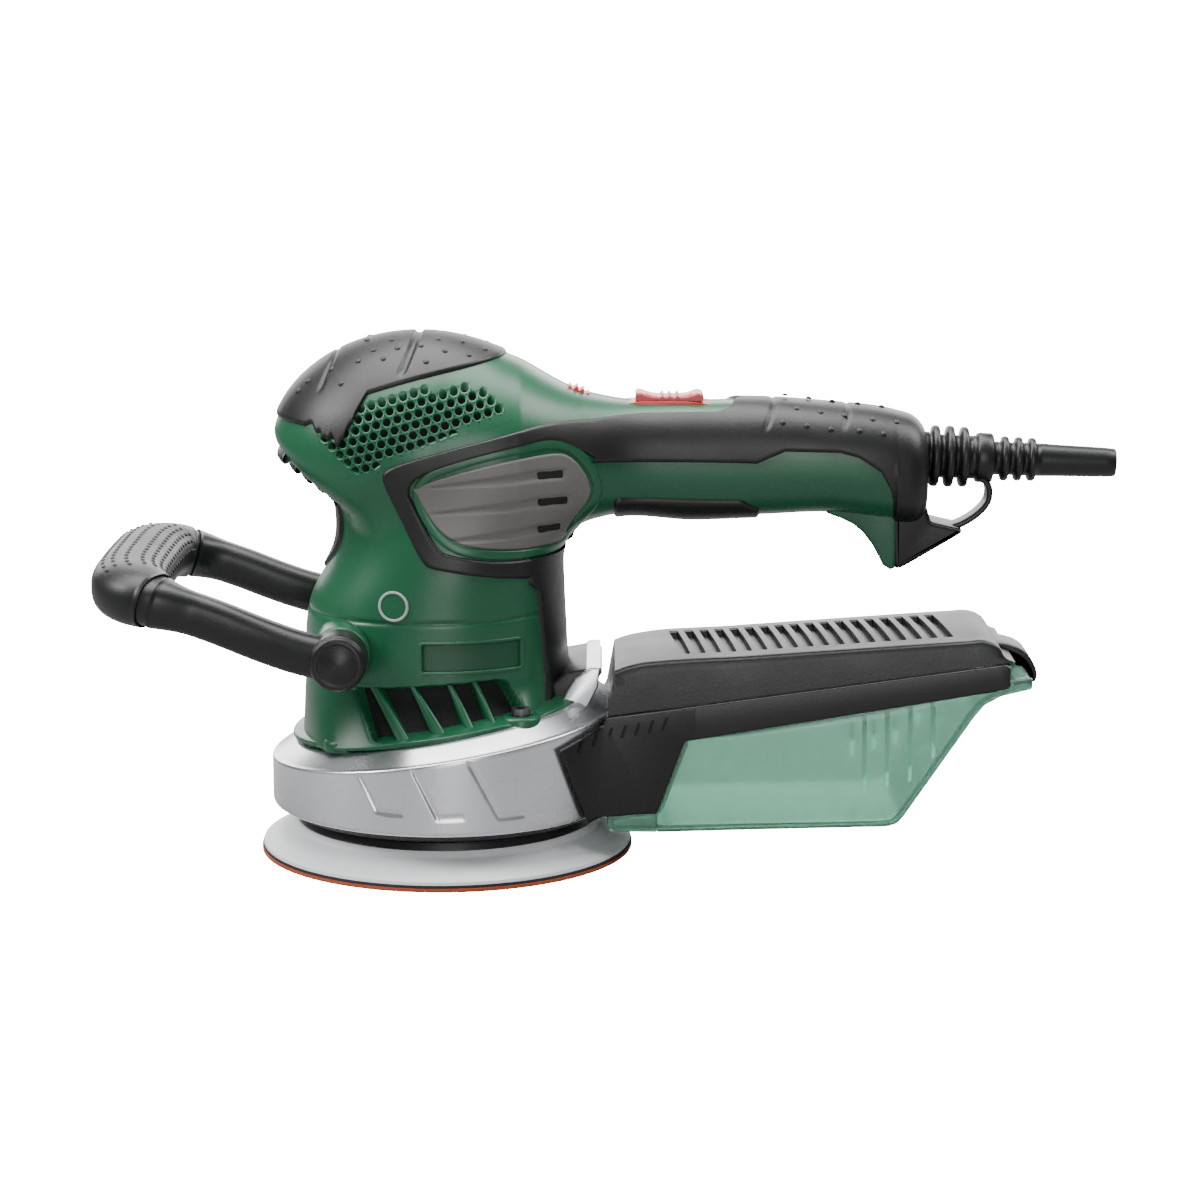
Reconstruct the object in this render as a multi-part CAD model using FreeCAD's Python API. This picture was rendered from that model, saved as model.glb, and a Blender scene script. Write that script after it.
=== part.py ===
import FreeCAD, Part
import math
import os

V = FreeCAD.Vector

# Frame: the origin is the centre of the sanding disc on its working face, +X runs to the
# cord end, +Z up, and the tool is symmetric about Y = 0 unless a piece says otherwise.
# All lengths are millimetres.

# Sanding pad and drive
disc_radius = 62.5
orbit = 2.5                     # distance from the motor axis to the pad axis
motor_x = -orbit
shaft_radius = 5.0
running_gap = 0.05              # radial clearance of a shaft in its bearing
disc_thick = 1.2
hook_thick = 1.0
foam_top = 10.5
plate_thick = 3.0
dust_hole_radius = 5.0
dust_hole_circle = 65.0
dust_hole_count = 8

# Base shroud: a drum whose roof slopes up towards the rear
shroud_radius = 58.5
shroud_bottom = 17.0
shroud_wall = 2.5
roof_height = 42.2              # height of the roof above the disc at x = 0
roof_rise = 0.15                # rise of the roof per millimetre along X
roof_thick = 3.0
roof_hole = 36.5
shroud_chamfer = 5.0

# Shells
wall = 2.5
grip_proud = 1.1                # soft grips stand this far out of the shells
panel_proud = 0.8
head_centre = (-8.0, 0.0, 135.0)
head_axes = (49.0, 39.0, 38.3)
head_low = -38.0                # latitudes of the head's first and last section, degrees
head_high = 82.0
head_steps = 8
chin_front = (-56.0, 137.5)     # the head's underside runs straight between these two
chin_back = (-35.5, 121.8)
foot_radius = 50.5
foot_height = 7.0
# column sections: height, centre x, half length, half width
column_sections = [
    (28.0, -3.2, 44.5, 42.5),
    (60.0, -3.3, 43.5, 42.0),
    (85.0, -3.0, 42.0, 41.5),
    (105.0, 1.3, 37.0, 40.0),
    (122.0, 1.3, 36.5, 36.5),
    (140.0, 0.0, 32.0, 30.0),
]
# handle sections: x, centre z, half height, half width
handle_sections = [
    (26.0, 131.5, 28.0, 35.0),
    (44.0, 132.4, 22.0, 27.0),
    (58.0, 132.6, 18.9, 22.0),
    (82.0, 131.8, 19.2, 20.0),
    (106.0, 132.2, 18.8, 20.2),
    (128.0, 131.8, 17.6, 20.8),
    (146.0, 129.8, 17.6, 20.2),
    (158.5, 127.6, 16.6, 18.6),
]
spur_half_width = 10.0

# Front handle
pivot = (-32.0, 73.7)           # x, z of the cross axis that the handle turns on
arm_inner = 44.5
arm_outer = 57.0
bolt_radius = 4.0

# Motor
stator_radius = 30.0            # fits between the front and rear walls of the waist

# Speed wheel and switch
wheel_centre = (41.8, 147.5)
wheel_radius = 8.8
wheel_half_width = 5.0
switch_travel = 5.0
stem_front = 72.0
stem_rear = 76.0
switch_top = 151.6              # top of the switch plate

# Dust box
box_half_width = 31.0
ledge_front = (54.0, 50.4)      # the lid rests on a line between these two points
ledge_rear = (185.0, 68.2)
lid_hinge = (58.3, 62.0)
duct_half_width = 15.0
duct_bottom = 21.5
duct_top = 40.5
drum_gap = 0.9                  # clearance of the box around the drum
seat_half = 17.5                # half width of the collar's seat for the outlet duct


# ---------------------------------------------------------------- basic solids
def block(x0, x1, y0, y1, z0, z1):
    return Part.makeBox(x1 - x0, y1 - y0, z1 - z0, V(x0, y0, z0))


def rod(radius, z0, z1, x=0.0, y=0.0):
    return Part.makeCylinder(radius, z1 - z0, V(x, y, z0), V(0, 0, 1))


def rod_x(radius, x0, x1, y, z):
    return Part.makeCylinder(radius, x1 - x0, V(x0, y, z), V(1, 0, 0))


def rod_y(radius, y0, y1, x, z):
    return Part.makeCylinder(radius, y1 - y0, V(x, y0, z), V(0, 1, 0))


def tube(outer, inner, z0, z1, x=0.0, y=0.0):
    return rod(outer, z0, z1, x, y).cut(rod(inner, z0 - 1, z1 + 1, x, y))


def prism(points, half_width):
    """Outline in the XZ plane, carried from -half_width to half_width along Y."""
    corners = [V(x, -half_width, z) for x, z in points]
    face = Part.Face(Part.makePolygon(corners + corners[:1]))
    return face.extrude(V(0, 2 * half_width, 0))


def turned(points, x=0.0):
    """Outline of (radius, height) points turned about the vertical line at x."""
    corners = [V(x + r, 0, z) for r, z in points]
    face = Part.Face(Part.makePolygon(corners + corners[:1]))
    return face.revolve(V(x, 0, 0), V(0, 0, 1), 360)


def join(pieces):
    return pieces[0].multiFuse(pieces[1:]).removeSplitter()


def cut_all(solid, tools):
    for tool in tools:
        solid = solid.cut(tool)
    return solid


def mirrored(solid):
    return solid.mirror(V(0, 0, 0), V(0, 1, 0))


def both_sides(solid):
    return Part.makeCompound([solid, mirrored(solid)])


def around(solid, count, x, y=0.0):
    """Copies of a solid spaced evenly about the vertical line at (x, y)."""
    copies = []
    for index in range(count):
        copy = solid.copy()
        copy.rotate(V(x, y, 0), V(0, 0, 1), 360.0 * index / count)
        copies.append(copy)
    return copies


def squircle(half_u, half_v, power, count=28):
    """Points of a rounded rectangle |u/a|^n + |v/b|^n = 1."""
    points = []
    for index in range(count):
        angle = 2 * math.pi * index / count
        c = math.cos(angle)
        s = math.sin(angle)
        u = half_u * math.copysign(abs(c) ** (2 / power), c)
        v = half_v * math.copysign(abs(s) ** (2 / power), s)
        points.append((u, v))
    return points


def closed_curve(points):
    curve = Part.BSplineCurve()
    curve.interpolate(Points=points, PeriodicFlag=True)
    return Part.Wire(curve.toShape())


# ---------------------------------------------------------------- outer form of the tool
def column(grow):
    wires = []
    for z, x, half_length, half_width in column_sections:
        ring = squircle(half_length + grow, half_width + grow, 2.15)
        wires.append(closed_curve([V(x + u, v, z) for u, v in ring]))
    return Part.makeLoft(wires, True, True)


def head(grow):
    """Egg of level ellipses, one for each step of latitude, cut off along the chin."""
    length, width, height = [axis + grow for axis in head_axes]
    wires = []
    for step in range(head_steps + 1):
        tilt = math.radians(head_low + (head_high - head_low) * step / head_steps)
        ring = squircle(length * math.cos(tilt), width * math.cos(tilt), 2.0, 16)
        z = head_centre[2] + height * math.sin(tilt)
        wires.append(closed_curve([V(head_centre[0] + u, v, z) for u, v in ring]))
    ball = Part.makeLoft(wires, True, True)
    run = chin_back[0] - chin_front[0]
    slope = (chin_back[1] - chin_front[1]) / run
    low = chin_front[1] - grow * 1.25
    below = prism(
        [(-120, low + slope * (-120 - chin_front[0])), (60, low + slope * (60 - chin_front[0])),
         (60, -80), (-120, -80)], 80)
    return ball.cut(below)


def handle(grow):
    wires = []
    last = len(handle_sections) - 1
    for index, (x, z, half_height, half_width) in enumerate(handle_sections):
        if index == last:
            x += grow
        ring = squircle(half_width + grow, half_height + grow, 2.5)
        wires.append(closed_curve([V(x, u, z + v) for u, v in ring]))
    return Part.makeLoft(wires, True, True)


def right_of(solid):
    return solid.common(block(-200, 250, 0, 150, -20, 250))


def whole(solid):
    """A right half and its mirror image, as one piece."""
    return solid.fuse(mirrored(solid)).removeSplitter()


def right_body(grow):
    """The right half of the tool's outer form, moved outwards by grow."""
    return right_of(column(grow)).multiFuse([right_of(head(grow)), right_of(handle(grow))])


def below_roof(lift):
    """Everything below the sloping roof line raised by lift."""
    ends = [(x, roof_height + roof_rise * x + lift) for x in (-150.0, 150.0)]
    return prism(ends + [(150, -60), (-150, -60)], 150)


# ---------------------------------------------------------------- outlines on the side view
cap_outline = [
    (24.5, 167.0), (18.0, 166.0), (5.8, 164.2), (-14.7, 158.8), (-36.0, 152.0), (-40.3, 149.6),
    (-42.0, 145.0), (-41.5, 139.0), (-36.5, 131.5), (-34.2, 127.0), (-34.2, 118.0),
    (-80.0, 118.0), (-80.0, 190.0), (30.0, 190.0),
]
grip_outline = [
    (-18.8, 133.0), (-6.4, 137.4), (18.1, 143.6), (34.5, 147.6), (50.0, 147.6), (92.0, 147.6),
    (98.0, 152.0), (98.0, 170.0), (166.0, 170.0), (166.0, 90.0), (148.7, 90.0), (148.7, 101.8),
    (147.3, 122.5), (143.4, 129.6), (135.7, 134.6), (109.2, 136.4), (104.1, 132.0),
    (49.7, 132.8), (49.1, 135.0), (44.2, 139.0), (37.6, 141.4), (30.3, 141.0), (10.0, 136.6),
    (-11.8, 129.6), (-0.2, 106.9), (17.9, 103.1), (39.3, 103.1), (52.0, 103.1), (52.0, 52.0),
    (34.4, 52.0), (31.6, 84.3), (30.3, 93.8), (26.1, 96.4), (-1.8, 101.0), (-5.1, 102.2),
    (-18.9, 130.5),
]
panel_outline = [
    (-8.1, 128.2), (18.1, 135.4), (36.9, 138.0), (42.6, 136.4), (48.0, 128.9), (49.0, 122.3),
    (41.8, 113.9), (39.7, 108.9), (39.3, 106.4), (17.9, 106.8), (1.5, 110.2), (-7.6, 125.0),
]
plate_outline = [(-6.4, 67.4), (26.5, 67.4), (26.5, 77.3), (-6.4, 77.3)]
rear_drop = [
    (124.0, 118.0), (127.0, 114.6), (135.2, 111.0), (141.7, 104.2), (145.2, 97.3), (147.8, 95.6),
    (149.5, 96.0), (149.5, 118.0),
]
spur = [
    (149.5, 96.0), (151.0, 96.2), (171.5, 108.2), (171.0, 109.4), (160.5, 111.5), (157.0, 118.0),
    (149.5, 118.0),
]
tower_outline = [
    (24.0, 44.0), (36.0, 51.0), (44.0, 64.0), (48.0, 65.3), (52.0, 65.0), (51.4, 57.0),
    (46.6, 50.0), (38.0, 41.0), (28.0, 40.0),
]
collar_outline = [
    (38.6, 42.9), (47.8, 16.3), (70.5, 17.9), (79.6, 42.2), (84.0, 42.93), (84.0, 54.48),
    ledge_front, (53.0, 48.0),
]
container_outline = [
    (47.8, 16.3), (50.0, 10.5), (148.0, 13.1), (150.5, 14.7), (175.0, 51.3), (182.0, 57.2),
    (193.0, 59.8), (193.0, 63.6), (186.0, 62.6), (185.8, 59.7), (79.6, 42.2), (70.5, 17.9),
]
container_inside = [
    (74.2, 14.6), (147.2, 15.3), (149.0, 16.4), (173.0, 52.0), (178.0, 56.6), (178.0, 75.0),
    (84.0, 75.0), (82.4, 43.0), (73.2, 18.0),
]


# ---------------------------------------------------------------- pad and drive
def dust_holes(z0, z1):
    hole = rod(dust_hole_radius, z0, z1, dust_hole_circle / 2)
    turn = 180.0 / dust_hole_count
    hole.rotate(V(0, 0, 0), V(0, 0, 1), turn)
    return around(hole, dust_hole_count, 0.0)


def make_pad(parts):
    hook_top = disc_thick + hook_thick
    plate_top = foam_top + plate_thick
    holes = dust_holes(-1, 20)
    parts["sanding_disc"] = cut_all(rod(disc_radius, 0, disc_thick), holes)
    parts["hook_layer"] = cut_all(tube(disc_radius - 0.3, 9.5, disc_thick, hook_top), holes)
    foam = turned([(9.5, hook_top), (disc_radius - 0.5, hook_top), (disc_radius - 0.7, 3.2),
                   (57.0, 5.6), (52.0, 8.6), (50.5, foam_top), (9.5, foam_top)])
    parts["foam_pad"] = cut_all(foam, holes)
    plate = turned([(4.0, foam_top), (50.0, foam_top), (49.0, plate_top - 0.6),
                    (46.0, plate_top), (4.0, plate_top)])
    parts["backing_plate"] = cut_all(plate, holes)
    spindle_radius = 6.0 - running_gap
    parts["pad_spindle"] = turned([
        (4.0, plate_top), (18.0, plate_top), (18.0, 17.0), (8.0, 18.0), (8.0, 20.2),
        (spindle_radius, 20.2), (spindle_radius, 28.2), (0.0, 28.2), (0.0, 24.0), (4.0, 24.0)])
    head_disc = rod(8.0, 7.0, foam_top)
    socket = rod(2.6, 6.0, 8.8)
    parts["pad_screw"] = join([head_disc, rod(4.0, foam_top - 0.01, 24.0)]).cut(socket)


def bearing(outer, inner, z0, z1, x, balls=8):
    """Two rings and a ring of balls, as separate solids."""
    race = (outer - inner) * 0.28
    middle = (outer + inner) / 2
    ball_radius = (outer - inner) / 2 - race - 0.05
    pieces = [tube(outer, outer - race, z0, z1, x), tube(inner + race, inner, z0, z1, x)]
    ball = Part.makeSphere(ball_radius, V(x + middle, 0, (z0 + z1) / 2))
    return Part.makeCompound(pieces + around(ball, balls, x))


def make_rotor(parts):
    parts["motor_shaft"] = rod(shaft_radius, 33.0, 153.0, motor_x)
    hub = join([rod(21.0, 20.0, 33.0, motor_x), rod(10.0, 33.0, 46.0, motor_x)])
    pocket = rod(14.0, 19.0, 29.2)
    parts["eccentric_hub"] = hub.cut(pocket).cut(rod(shaft_radius, 33.0, 47.0, motor_x))
    parts["pad_bearing"] = bearing(14.0, 6.0, 20.6, 28.6, 0.0)
    weight = tube(31.0, 10.0, 33.0, 39.0, motor_x)
    parts["counterweight"] = weight.cut(block(motor_x, 60, -60, 60, 30, 45))
    blade = block(motor_x + 20.9, motor_x + 39.5, -0.8, 0.8, 22.0, 30.0)
    blade.rotate(V(motor_x + 21, 0, 0), V(0, 0, 1), 28)
    fan = join([tube(40.0, 20.9, 30.0, 31.6, motor_x)] + around(blade, 12, motor_x))
    parts["dust_fan"] = fan.cut(rod(21.0, 10.0, 40.0, motor_x))
    vane = block(motor_x + 11.0, motor_x + 32.0, -0.8, 0.8, 51.8, 61.0)
    vane.rotate(V(motor_x + 12, 0, 0), V(0, 0, 1), -24)
    cooler = [rod(33.0, 50.0, 52.0, motor_x), rod(12.0, 52.0, 61.0, motor_x)]
    fan = join(cooler + around(vane, 16, motor_x))
    parts["cooling_fan"] = fan.cut(rod(shaft_radius, 40.0, 70.0, motor_x))
    core = tube(20.8, shaft_radius, 79.0, 114.0, motor_x)
    slot = block(motor_x + 15.0, motor_x + 22.0, -1.2, 1.2, 78.0, 115.0)
    parts["armature_core"] = cut_all(core, around(slot, 12, motor_x))
    coil_low = tube(17.5, shaft_radius, 73.5, 79.0, motor_x)
    coil_high = tube(17.5, shaft_radius, 114.0, 121.5, motor_x)
    parts["armature_windings"] = Part.makeCompound([coil_low, coil_high])
    bars = tube(11.0, shaft_radius, 123.0, 137.0, motor_x)
    cut = block(motor_x + 10.0, motor_x + 12.0, -0.3, 0.3, 122.0, 138.0)
    parts["commutator"] = cut_all(bars, around(cut, 24, motor_x))


def make_motor(parts):
    stator = tube(stator_radius, 21.6, 80.0, 113.0, motor_x)
    for side in (-1, 1):
        low, high = sorted((side * 17.5, side * 26.0))
        stator = stator.cut(block(motor_x - 9, motor_x + 9, low, high, 70, 120))
    parts["field_stator"] = stator
    coil_radius = stator_radius - 1.2
    parts["field_coils"] = Part.makeCompound([
        tube(coil_radius, 23.5, 74.5, 80.0, motor_x),
        tube(coil_radius, 23.5, 113.0, 118.0, motor_x)])
    fit = shaft_radius + running_gap
    parts["lower_bearing"] = bearing(13.0, fit, 64.0, 72.0, motor_x)
    parts["upper_bearing"] = bearing(11.0, fit, 142.0, 149.0, motor_x)
    bracket = join([rod(38.2, 66.0, 69.0, motor_x), rod(16.5, 63.5, 72.5, motor_x)])
    vents = around(rod(6.0, 60.0, 75.0, motor_x + 26.5), 6, motor_x)
    parts["bearing_bracket"] = cut_all(bracket, vents + [rod(13.0, 60.0, 75.0, motor_x)])
    holder = block(motor_x - 5.5, motor_x + 5.5, 12.2, 32.0, 125.0, 135.0)
    channel = block(motor_x - 3.0, motor_x + 3.0, 12.0, 30.0, 127.0, 133.0)
    parts["brush_holders"] = both_sides(holder.cut(channel))
    parts["carbon_brushes"] = both_sides(block(motor_x - 3, motor_x + 3, 11.2, 23.0, 127, 133))
    coils = []
    for index in range(4):
        ring = Part.makeTorus(2.2, 0.4, V(motor_x, 23.8 + 1.6 * index, 130), V(0, 1, 0))
        coils.append(ring)
    parts["brush_springs"] = Part.makeCompound(coils + [mirrored(ring) for ring in coils])


# ---------------------------------------------------------------- base
def make_base(parts, outer_skin):
    drum = rod(shroud_radius, shroud_bottom, 80.0).common(below_roof(0.0))
    top_edge = max(drum.Edges, key=lambda edge: edge.BoundBox.ZMax * 10 + edge.BoundBox.XLength)
    drum = drum.makeChamfer(shroud_chamfer, [top_edge])
    inside = rod(shroud_radius - shroud_wall, 10.0, 80.0).common(below_roof(-roof_thick))
    drum = drum.cut(inside).cut(rod(roof_hole, 10.0, 80.0, motor_x))
    opening = block(40.0, 70.0, -duct_half_width, duct_half_width, duct_bottom, duct_top)
    parts["base_shroud"] = drum.cut(opening).removeSplitter()
    tower = right_of(prism(tower_outline, 24.0)).cut(outer_skin)
    parts["shroud_tower"] = whole(tower.cut(foot_form()).cut(below_roof(0.02)))
    parts["brake_ring"] = turned([
        (46.5, 14.2), (52.5, 14.2), (56.0, 16.2), (56.0, 20.0), (54.6, 20.0), (53.5, 17.0),
        (46.5, 15.4)])
    outside = block(50.0, 68.0, -duct_half_width, duct_half_width, duct_bottom, duct_top)
    bore = block(45.0, 75.0, -duct_half_width + 2, duct_half_width - 2, duct_bottom + 2,
                 duct_top - 2)
    parts["dust_outlet_duct"] = outside.cut(bore)


# ---------------------------------------------------------------- shells and grips
def vent_holes():
    """Round holes in rows that climb towards the rear, each row shifted by half a step."""
    step = 3.6
    holes = []
    for row in range(5):
        for column_index in range(12):
            x = -34.0 + step * column_index + 0.5 * step * (row % 2) + 1.0 * row
            z = 136.6 + 3.1 * row + 0.24 * (x + 34.0)
            holes.append(rod_y(1.35, 10, 60, x, z))
    return holes


def base_windows():
    """Slanted air slots around the fan, between upright vanes that lean to the rear."""
    slots = []
    for index in range(5):
        x = -27.0 + 9.4 * index
        z = 48.0 + 0.12 * x
        slots.append(prism([(x, z + 13), (x + 6.4, z + 13), (x + 13, z), (x + 6.6, z)], 60))
    return slots


def panel_slots():
    slots = []
    for index, left in enumerate((30.6, 30.4, 30.0)):
        z = 130.2 - 9.4 * index
        slots.append(prism([(left, z), (46, z), (46, z + 3.2), (left, z + 3.2)], 60))
    return slots


def make_webs():
    """Right halves of the flat webs that hold the motor, the switch and the board."""
    plates = [
        column(-1.0).common(block(-60, 60, 0, 60, 62.0, 66.0)).cut(rod(33.0, 50, 75, motor_x)),
        column(-1.0).common(block(-60, 60, 0, 60, 88.0, 92.0)).cut(rod(stator_radius, 80, 95, motor_x)),
        head(-1.0).common(block(-60, 26, 0, 60, 143.0, 147.0)).cut(rod(11.0, 140, 150, motor_x)),
        handle(-1.0).common(block(55.5, 58.0, 0, 40, 110, 150)).cut(rod_x(5, 50, 60, 0, 122)),
        handle(-1.0).common(block(90.0, 92.5, 0, 40, 110, 150)).cut(rod_x(5, 88, 95, 0, 133)),
        handle(-1.0).common(block(139, 149, 0, 40, 112, 128)),
        handle(-1.0).common(block(96, 130, 11, 40, 123, 126)),
    ]
    return plates


def foot_form():
    return right_of(rod(foot_radius, 25, 60, -1.0)).common(below_roof(foot_height))


def make_right_shell(outer):
    inner = right_body(-wall)
    foot = foot_form().cut(column(-wall))
    drop = right_of(prism(rear_drop, spur_half_width)).cut(inner)
    boss = rod_y(9.5, 24.0, 44.0, *pivot)
    shell = outer.cut(inner).multiFuse([foot, drop, boss] + make_webs())
    shell = shell.cut(below_roof(0.0)).cut(rod(38.0, 20.0, 61.5, motor_x))
    wheel_room = rod_y(wheel_radius + 0.6, -wheel_half_width - 0.6, wheel_half_width + 0.6,
                       *wheel_centre)
    pin_hole = rod_y(bolt_radius + running_gap, 20, 45, *pivot)
    stem_room = block(stem_front - switch_travel - 0.4, stem_rear + 0.4, -2.4, 2.4, 140, 160)
    shell = cut_all(shell, [wheel_room, cord_hole(), pin_hole, stem_room])
    shell = shell.cut(Part.makeCompound(vent_holes()))
    return shell.cut(Part.makeCompound(base_windows() + panel_slots()))


def cord_hole():
    return rod_x(8.0, 150, 170, 0, 132.8)


def make_shells(parts, outer, outer_skin):
    parts["housing_right"] = make_right_shell(outer)
    parts["housing_left"] = mirrored(parts["housing_right"])
    skin = outer_skin.cut(outer)
    parts["palm_grip"] = whole(skin.common(prism(cap_outline, 80)))
    parts["throat_pad"] = whole(skin.common(block(-60, -20, -13, 13, 95.0, 117.6)))
    grip = skin.common(prism(grip_outline, 80)).cut(cord_hole()).cut(foot_form())
    grip = grip.cut(prism(rear_drop, spur_half_width))
    sting = right_of(prism(spur, spur_half_width)).cut(outer)
    parts["side_grip_right"] = grip.fuse(sting).removeSplitter()
    parts["side_grip_left"] = mirrored(parts["side_grip_right"])
    pad_outline = [(56, 122), (99, 121), (104.5, 116.8), (104.5, 90), (56, 90)]
    parts["handle_pad"] = whole(skin.common(prism(pad_outline, 60)))
    thin = right_body(panel_proud).cut(outer)
    panel = thin.common(prism(panel_outline, 80)).cut(Part.makeCompound(panel_slots()))
    parts["vent_panel_right"] = panel.common(block(-60, 200, 5, 80, 0, 200))
    parts["vent_panel_left"] = mirrored(parts["vent_panel_right"])
    trim = [thin.common(prism(plate_outline, 80)), thin.common(rod_y(5.3, -80, 80, -14.9, 89.1))]
    parts["side_trim"] = Part.makeCompound(trim + [mirrored(piece) for piece in trim])


# ---------------------------------------------------------------- rear fittings
def make_cord_exit(parts):
    """Ribbed bend sleeve, leaning down a little, with the hanging strap below it."""
    start_x = 153.0
    axis_z = 132.8
    ribs = [(9.6, 10.2), (14.4, 10.2), (19.2, 10.0), (32.8, 7.4), (37.3, 7.3), (41.8, 7.2)]
    outline = [(3.75, 0.0), (12.0, 0.0), (12.0, 3.0), (8.0, 3.0), (8.0, 8.4)]
    for station, radius in ribs[:3]:
        outline += [(radius, station - 1.0), (radius, station + 1.0), (7.2, station + 1.6),
                    (7.2, station + 3.4)]
    outline += [(8.3, 23.8), (8.3, 28.4), (5.6, 29.0), (5.6, 31.4)]
    for station, radius in ribs[3:]:
        outline += [(radius, station - 0.9), (radius, station + 0.9), (5.5, station + 1.4),
                    (5.5, station + 3.1)]
    outline += [(4.7, 69.8), (3.75, 69.8)]
    sleeve = turned(outline)
    sleeve.rotate(V(0, 0, 0), V(0, 1, 0), 90 + 2.2)
    sleeve.translate(V(start_x, 0, axis_z))
    parts["cord_sleeve"] = sleeve
    strap = prism([(176.9, 124.4), (181.2, 124.2), (182.6, 120.5), (181.0, 116.4), (173.0, 109.6),
                   (171.6, 110.8), (178.2, 117.4), (178.6, 120.0)], 5.0)
    parts["hanging_strap"] = strap.cut(sleeve).cut(prism(spur, spur_half_width))
    clamp = block(140.0, 148.0, -10, 10, 128.0, 130.6)
    screws = []
    for y in (-7.0, 7.0):
        screws.append(join([rod(2.8, 130.6, 132.4, 144.0, y), rod(1.5, 116.0, 130.7, 144.0, y)]))
    parts["cord_clamp"] = cut_all(clamp, screws)
    parts["clamp_screws"] = Part.makeCompound(screws)
    leads = [rod_x(1.3, 110.0, 152.5, y, 131.9) for y in (-2.2, 2.2)]
    parts["inner_leads"] = Part.makeCompound(leads)


# ---------------------------------------------------------------- controls
def make_controls(parts):
    plate = block(58.3, 88.0, -7.0, 7.0, 147.0, switch_top)
    slot = block(stem_front - switch_travel - 0.4, stem_rear + 0.4, -2.4, 2.4, 140, 160)
    parts["switch_plate"] = plate.cut(slot)
    low = switch_top + 0.2
    slider = prism([(63.4, low), (63.4, low + 2.4), (65.0, low + 2.2), (68.6, low + 0.9),
                    (79.6, low + 0.9), (83.0, low + 1.9), (85.6, low + 1.7), (85.8, low)], 6.5)
    for index in range(3):
        x = 71.6 + 2.6 * index
        slider = slider.fuse(block(x, x + 1.0, -6.0, 6.0, low + 0.8, low + 1.6))
    stem = block(stem_front, stem_rear, -2.0, 2.0, 145.9, low + 0.1)
    parts["switch_slider"] = slider.fuse(stem).removeSplitter()
    parts["switch_module"] = block(58.0, 90.0, -8.5, 8.5, 129.0, 145.5)
    wheel = rod_y(wheel_radius, -wheel_half_width, wheel_half_width, *wheel_centre)
    tooth = rod_y(0.7, -6, 6, wheel_centre[0] + wheel_radius + 0.25, wheel_centre[1])
    teeth = []
    for index in range(24):
        groove = tooth.copy()
        groove.rotate(V(wheel_centre[0], 0, wheel_centre[1]), V(0, 1, 0), 15.0 * index)
        teeth.append(groove)
    axle = rod_y(1.5, -8.0, 10.0, *wheel_centre)
    parts["speed_wheel"] = cut_all(wheel, teeth).fuse(axle)
    pot = block(37.0, 46.6, 6.0, 10.5, 142.0, 150.2)
    parts["dial_potentiometer"] = pot.cut(rod_y(1.5 + running_gap, 5, 11, *wheel_centre))
    board = [block(97.0, 129.0, -13.0, 13.0, 126.0, 127.6)]
    board += [rod(4.0, 127.6, 138.0, 103.0, -6.0), block(110, 118, -11, -4, 127.6, 130.0)]
    board += [block(98.5, 106, 2.5, 10, 127.6, 133.0), block(121, 126, 3.5, 10.0, 127.6, 129.4)]
    parts["control_board"] = join(board)


# ---------------------------------------------------------------- front handle
def handle_loop_form(inset, profile):
    """A U seen from above, cut to the side profile."""
    outside = block(-114.5 + inset, -20.0, -arm_outer + inset, arm_outer - inset, 50, 120)
    corners = [edge for edge in outside.Edges
               if edge.BoundBox.ZLength > 60 and edge.BoundBox.XMax < -100]
    outside = outside.makeFillet(27.0 - inset, corners)
    inside = block(-89.0 - inset, 0.0, -arm_inner - inset, arm_inner + inset, 40, 130)
    corners = [edge for edge in inside.Edges
               if edge.BoundBox.ZLength > 60 and edge.BoundBox.XMax < -60]
    inside = inside.makeFillet(15.0 + inset, corners)
    return outside.cut(inside).common(prism(profile, 80))


def make_front_handle(parts):
    outer_profile = [
        (-32.0, 66.2), (-42.0, 70.4), (-64.0, 75.8), (-86.0, 84.2), (-98.0, 85.2), (-106.0, 87.4),
        (-111.0, 91.0), (-114.4, 96.4), (-112.5, 100.4), (-106.0, 102.6), (-95.0, 102.6),
        (-83.0, 99.6), (-57.0, 88.6), (-44.0, 84.6), (-32.0, 82.2)]
    core_profile = [
        (-80.0, 84.6), (-96.0, 88.8), (-106.0, 91.4), (-109.5, 96.0), (-106.0, 98.8),
        (-95.0, 98.8), (-80.0, 94.6)]
    full = handle_loop_form(0.0, outer_profile)
    core = handle_loop_form(4.0, core_profile)
    split = -84.0
    front = block(-150, split, -80, 80, 50, 130)
    rear = block(split, 0, -80, 80, 50, 130)
    grip_part = full.common(front).cut(core)
    arms = full.common(rear)
    bosses = [rod_y(9.0, arm_inner, arm_outer, *pivot), rod_y(9.0, -arm_outer, -arm_inner, *pivot)]
    loop = join([arms, core.common(block(-150, split + 0.5, -80, 80, 50, 130))] + bosses)
    bolts = [rod_y(bolt_radius, 30.0, arm_outer - 1.0, *pivot)]
    bolts += [rod_y(bolt_radius, -arm_outer + 1.0, -30.0, *pivot)]
    parts["handle_loop"] = cut_all(loop, bolts)
    parts["handle_grip"] = grip_part.cut(core)
    parts["pivot_bolts"] = Part.makeCompound(bolts)
    cap = rod_y(8.7, arm_outer, arm_outer + 1.5, *pivot)
    cap = cap.makeFillet(1.0, [edge for edge in cap.Edges if edge.BoundBox.YMin > arm_outer + 1])
    parts["pivot_caps"] = both_sides(cap)


# ---------------------------------------------------------------- dust box
def ledge_z(x):
    run = (x - ledge_front[0]) / (ledge_rear[0] - ledge_front[0])
    return ledge_front[1] + run * (ledge_rear[1] - ledge_front[1])


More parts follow.
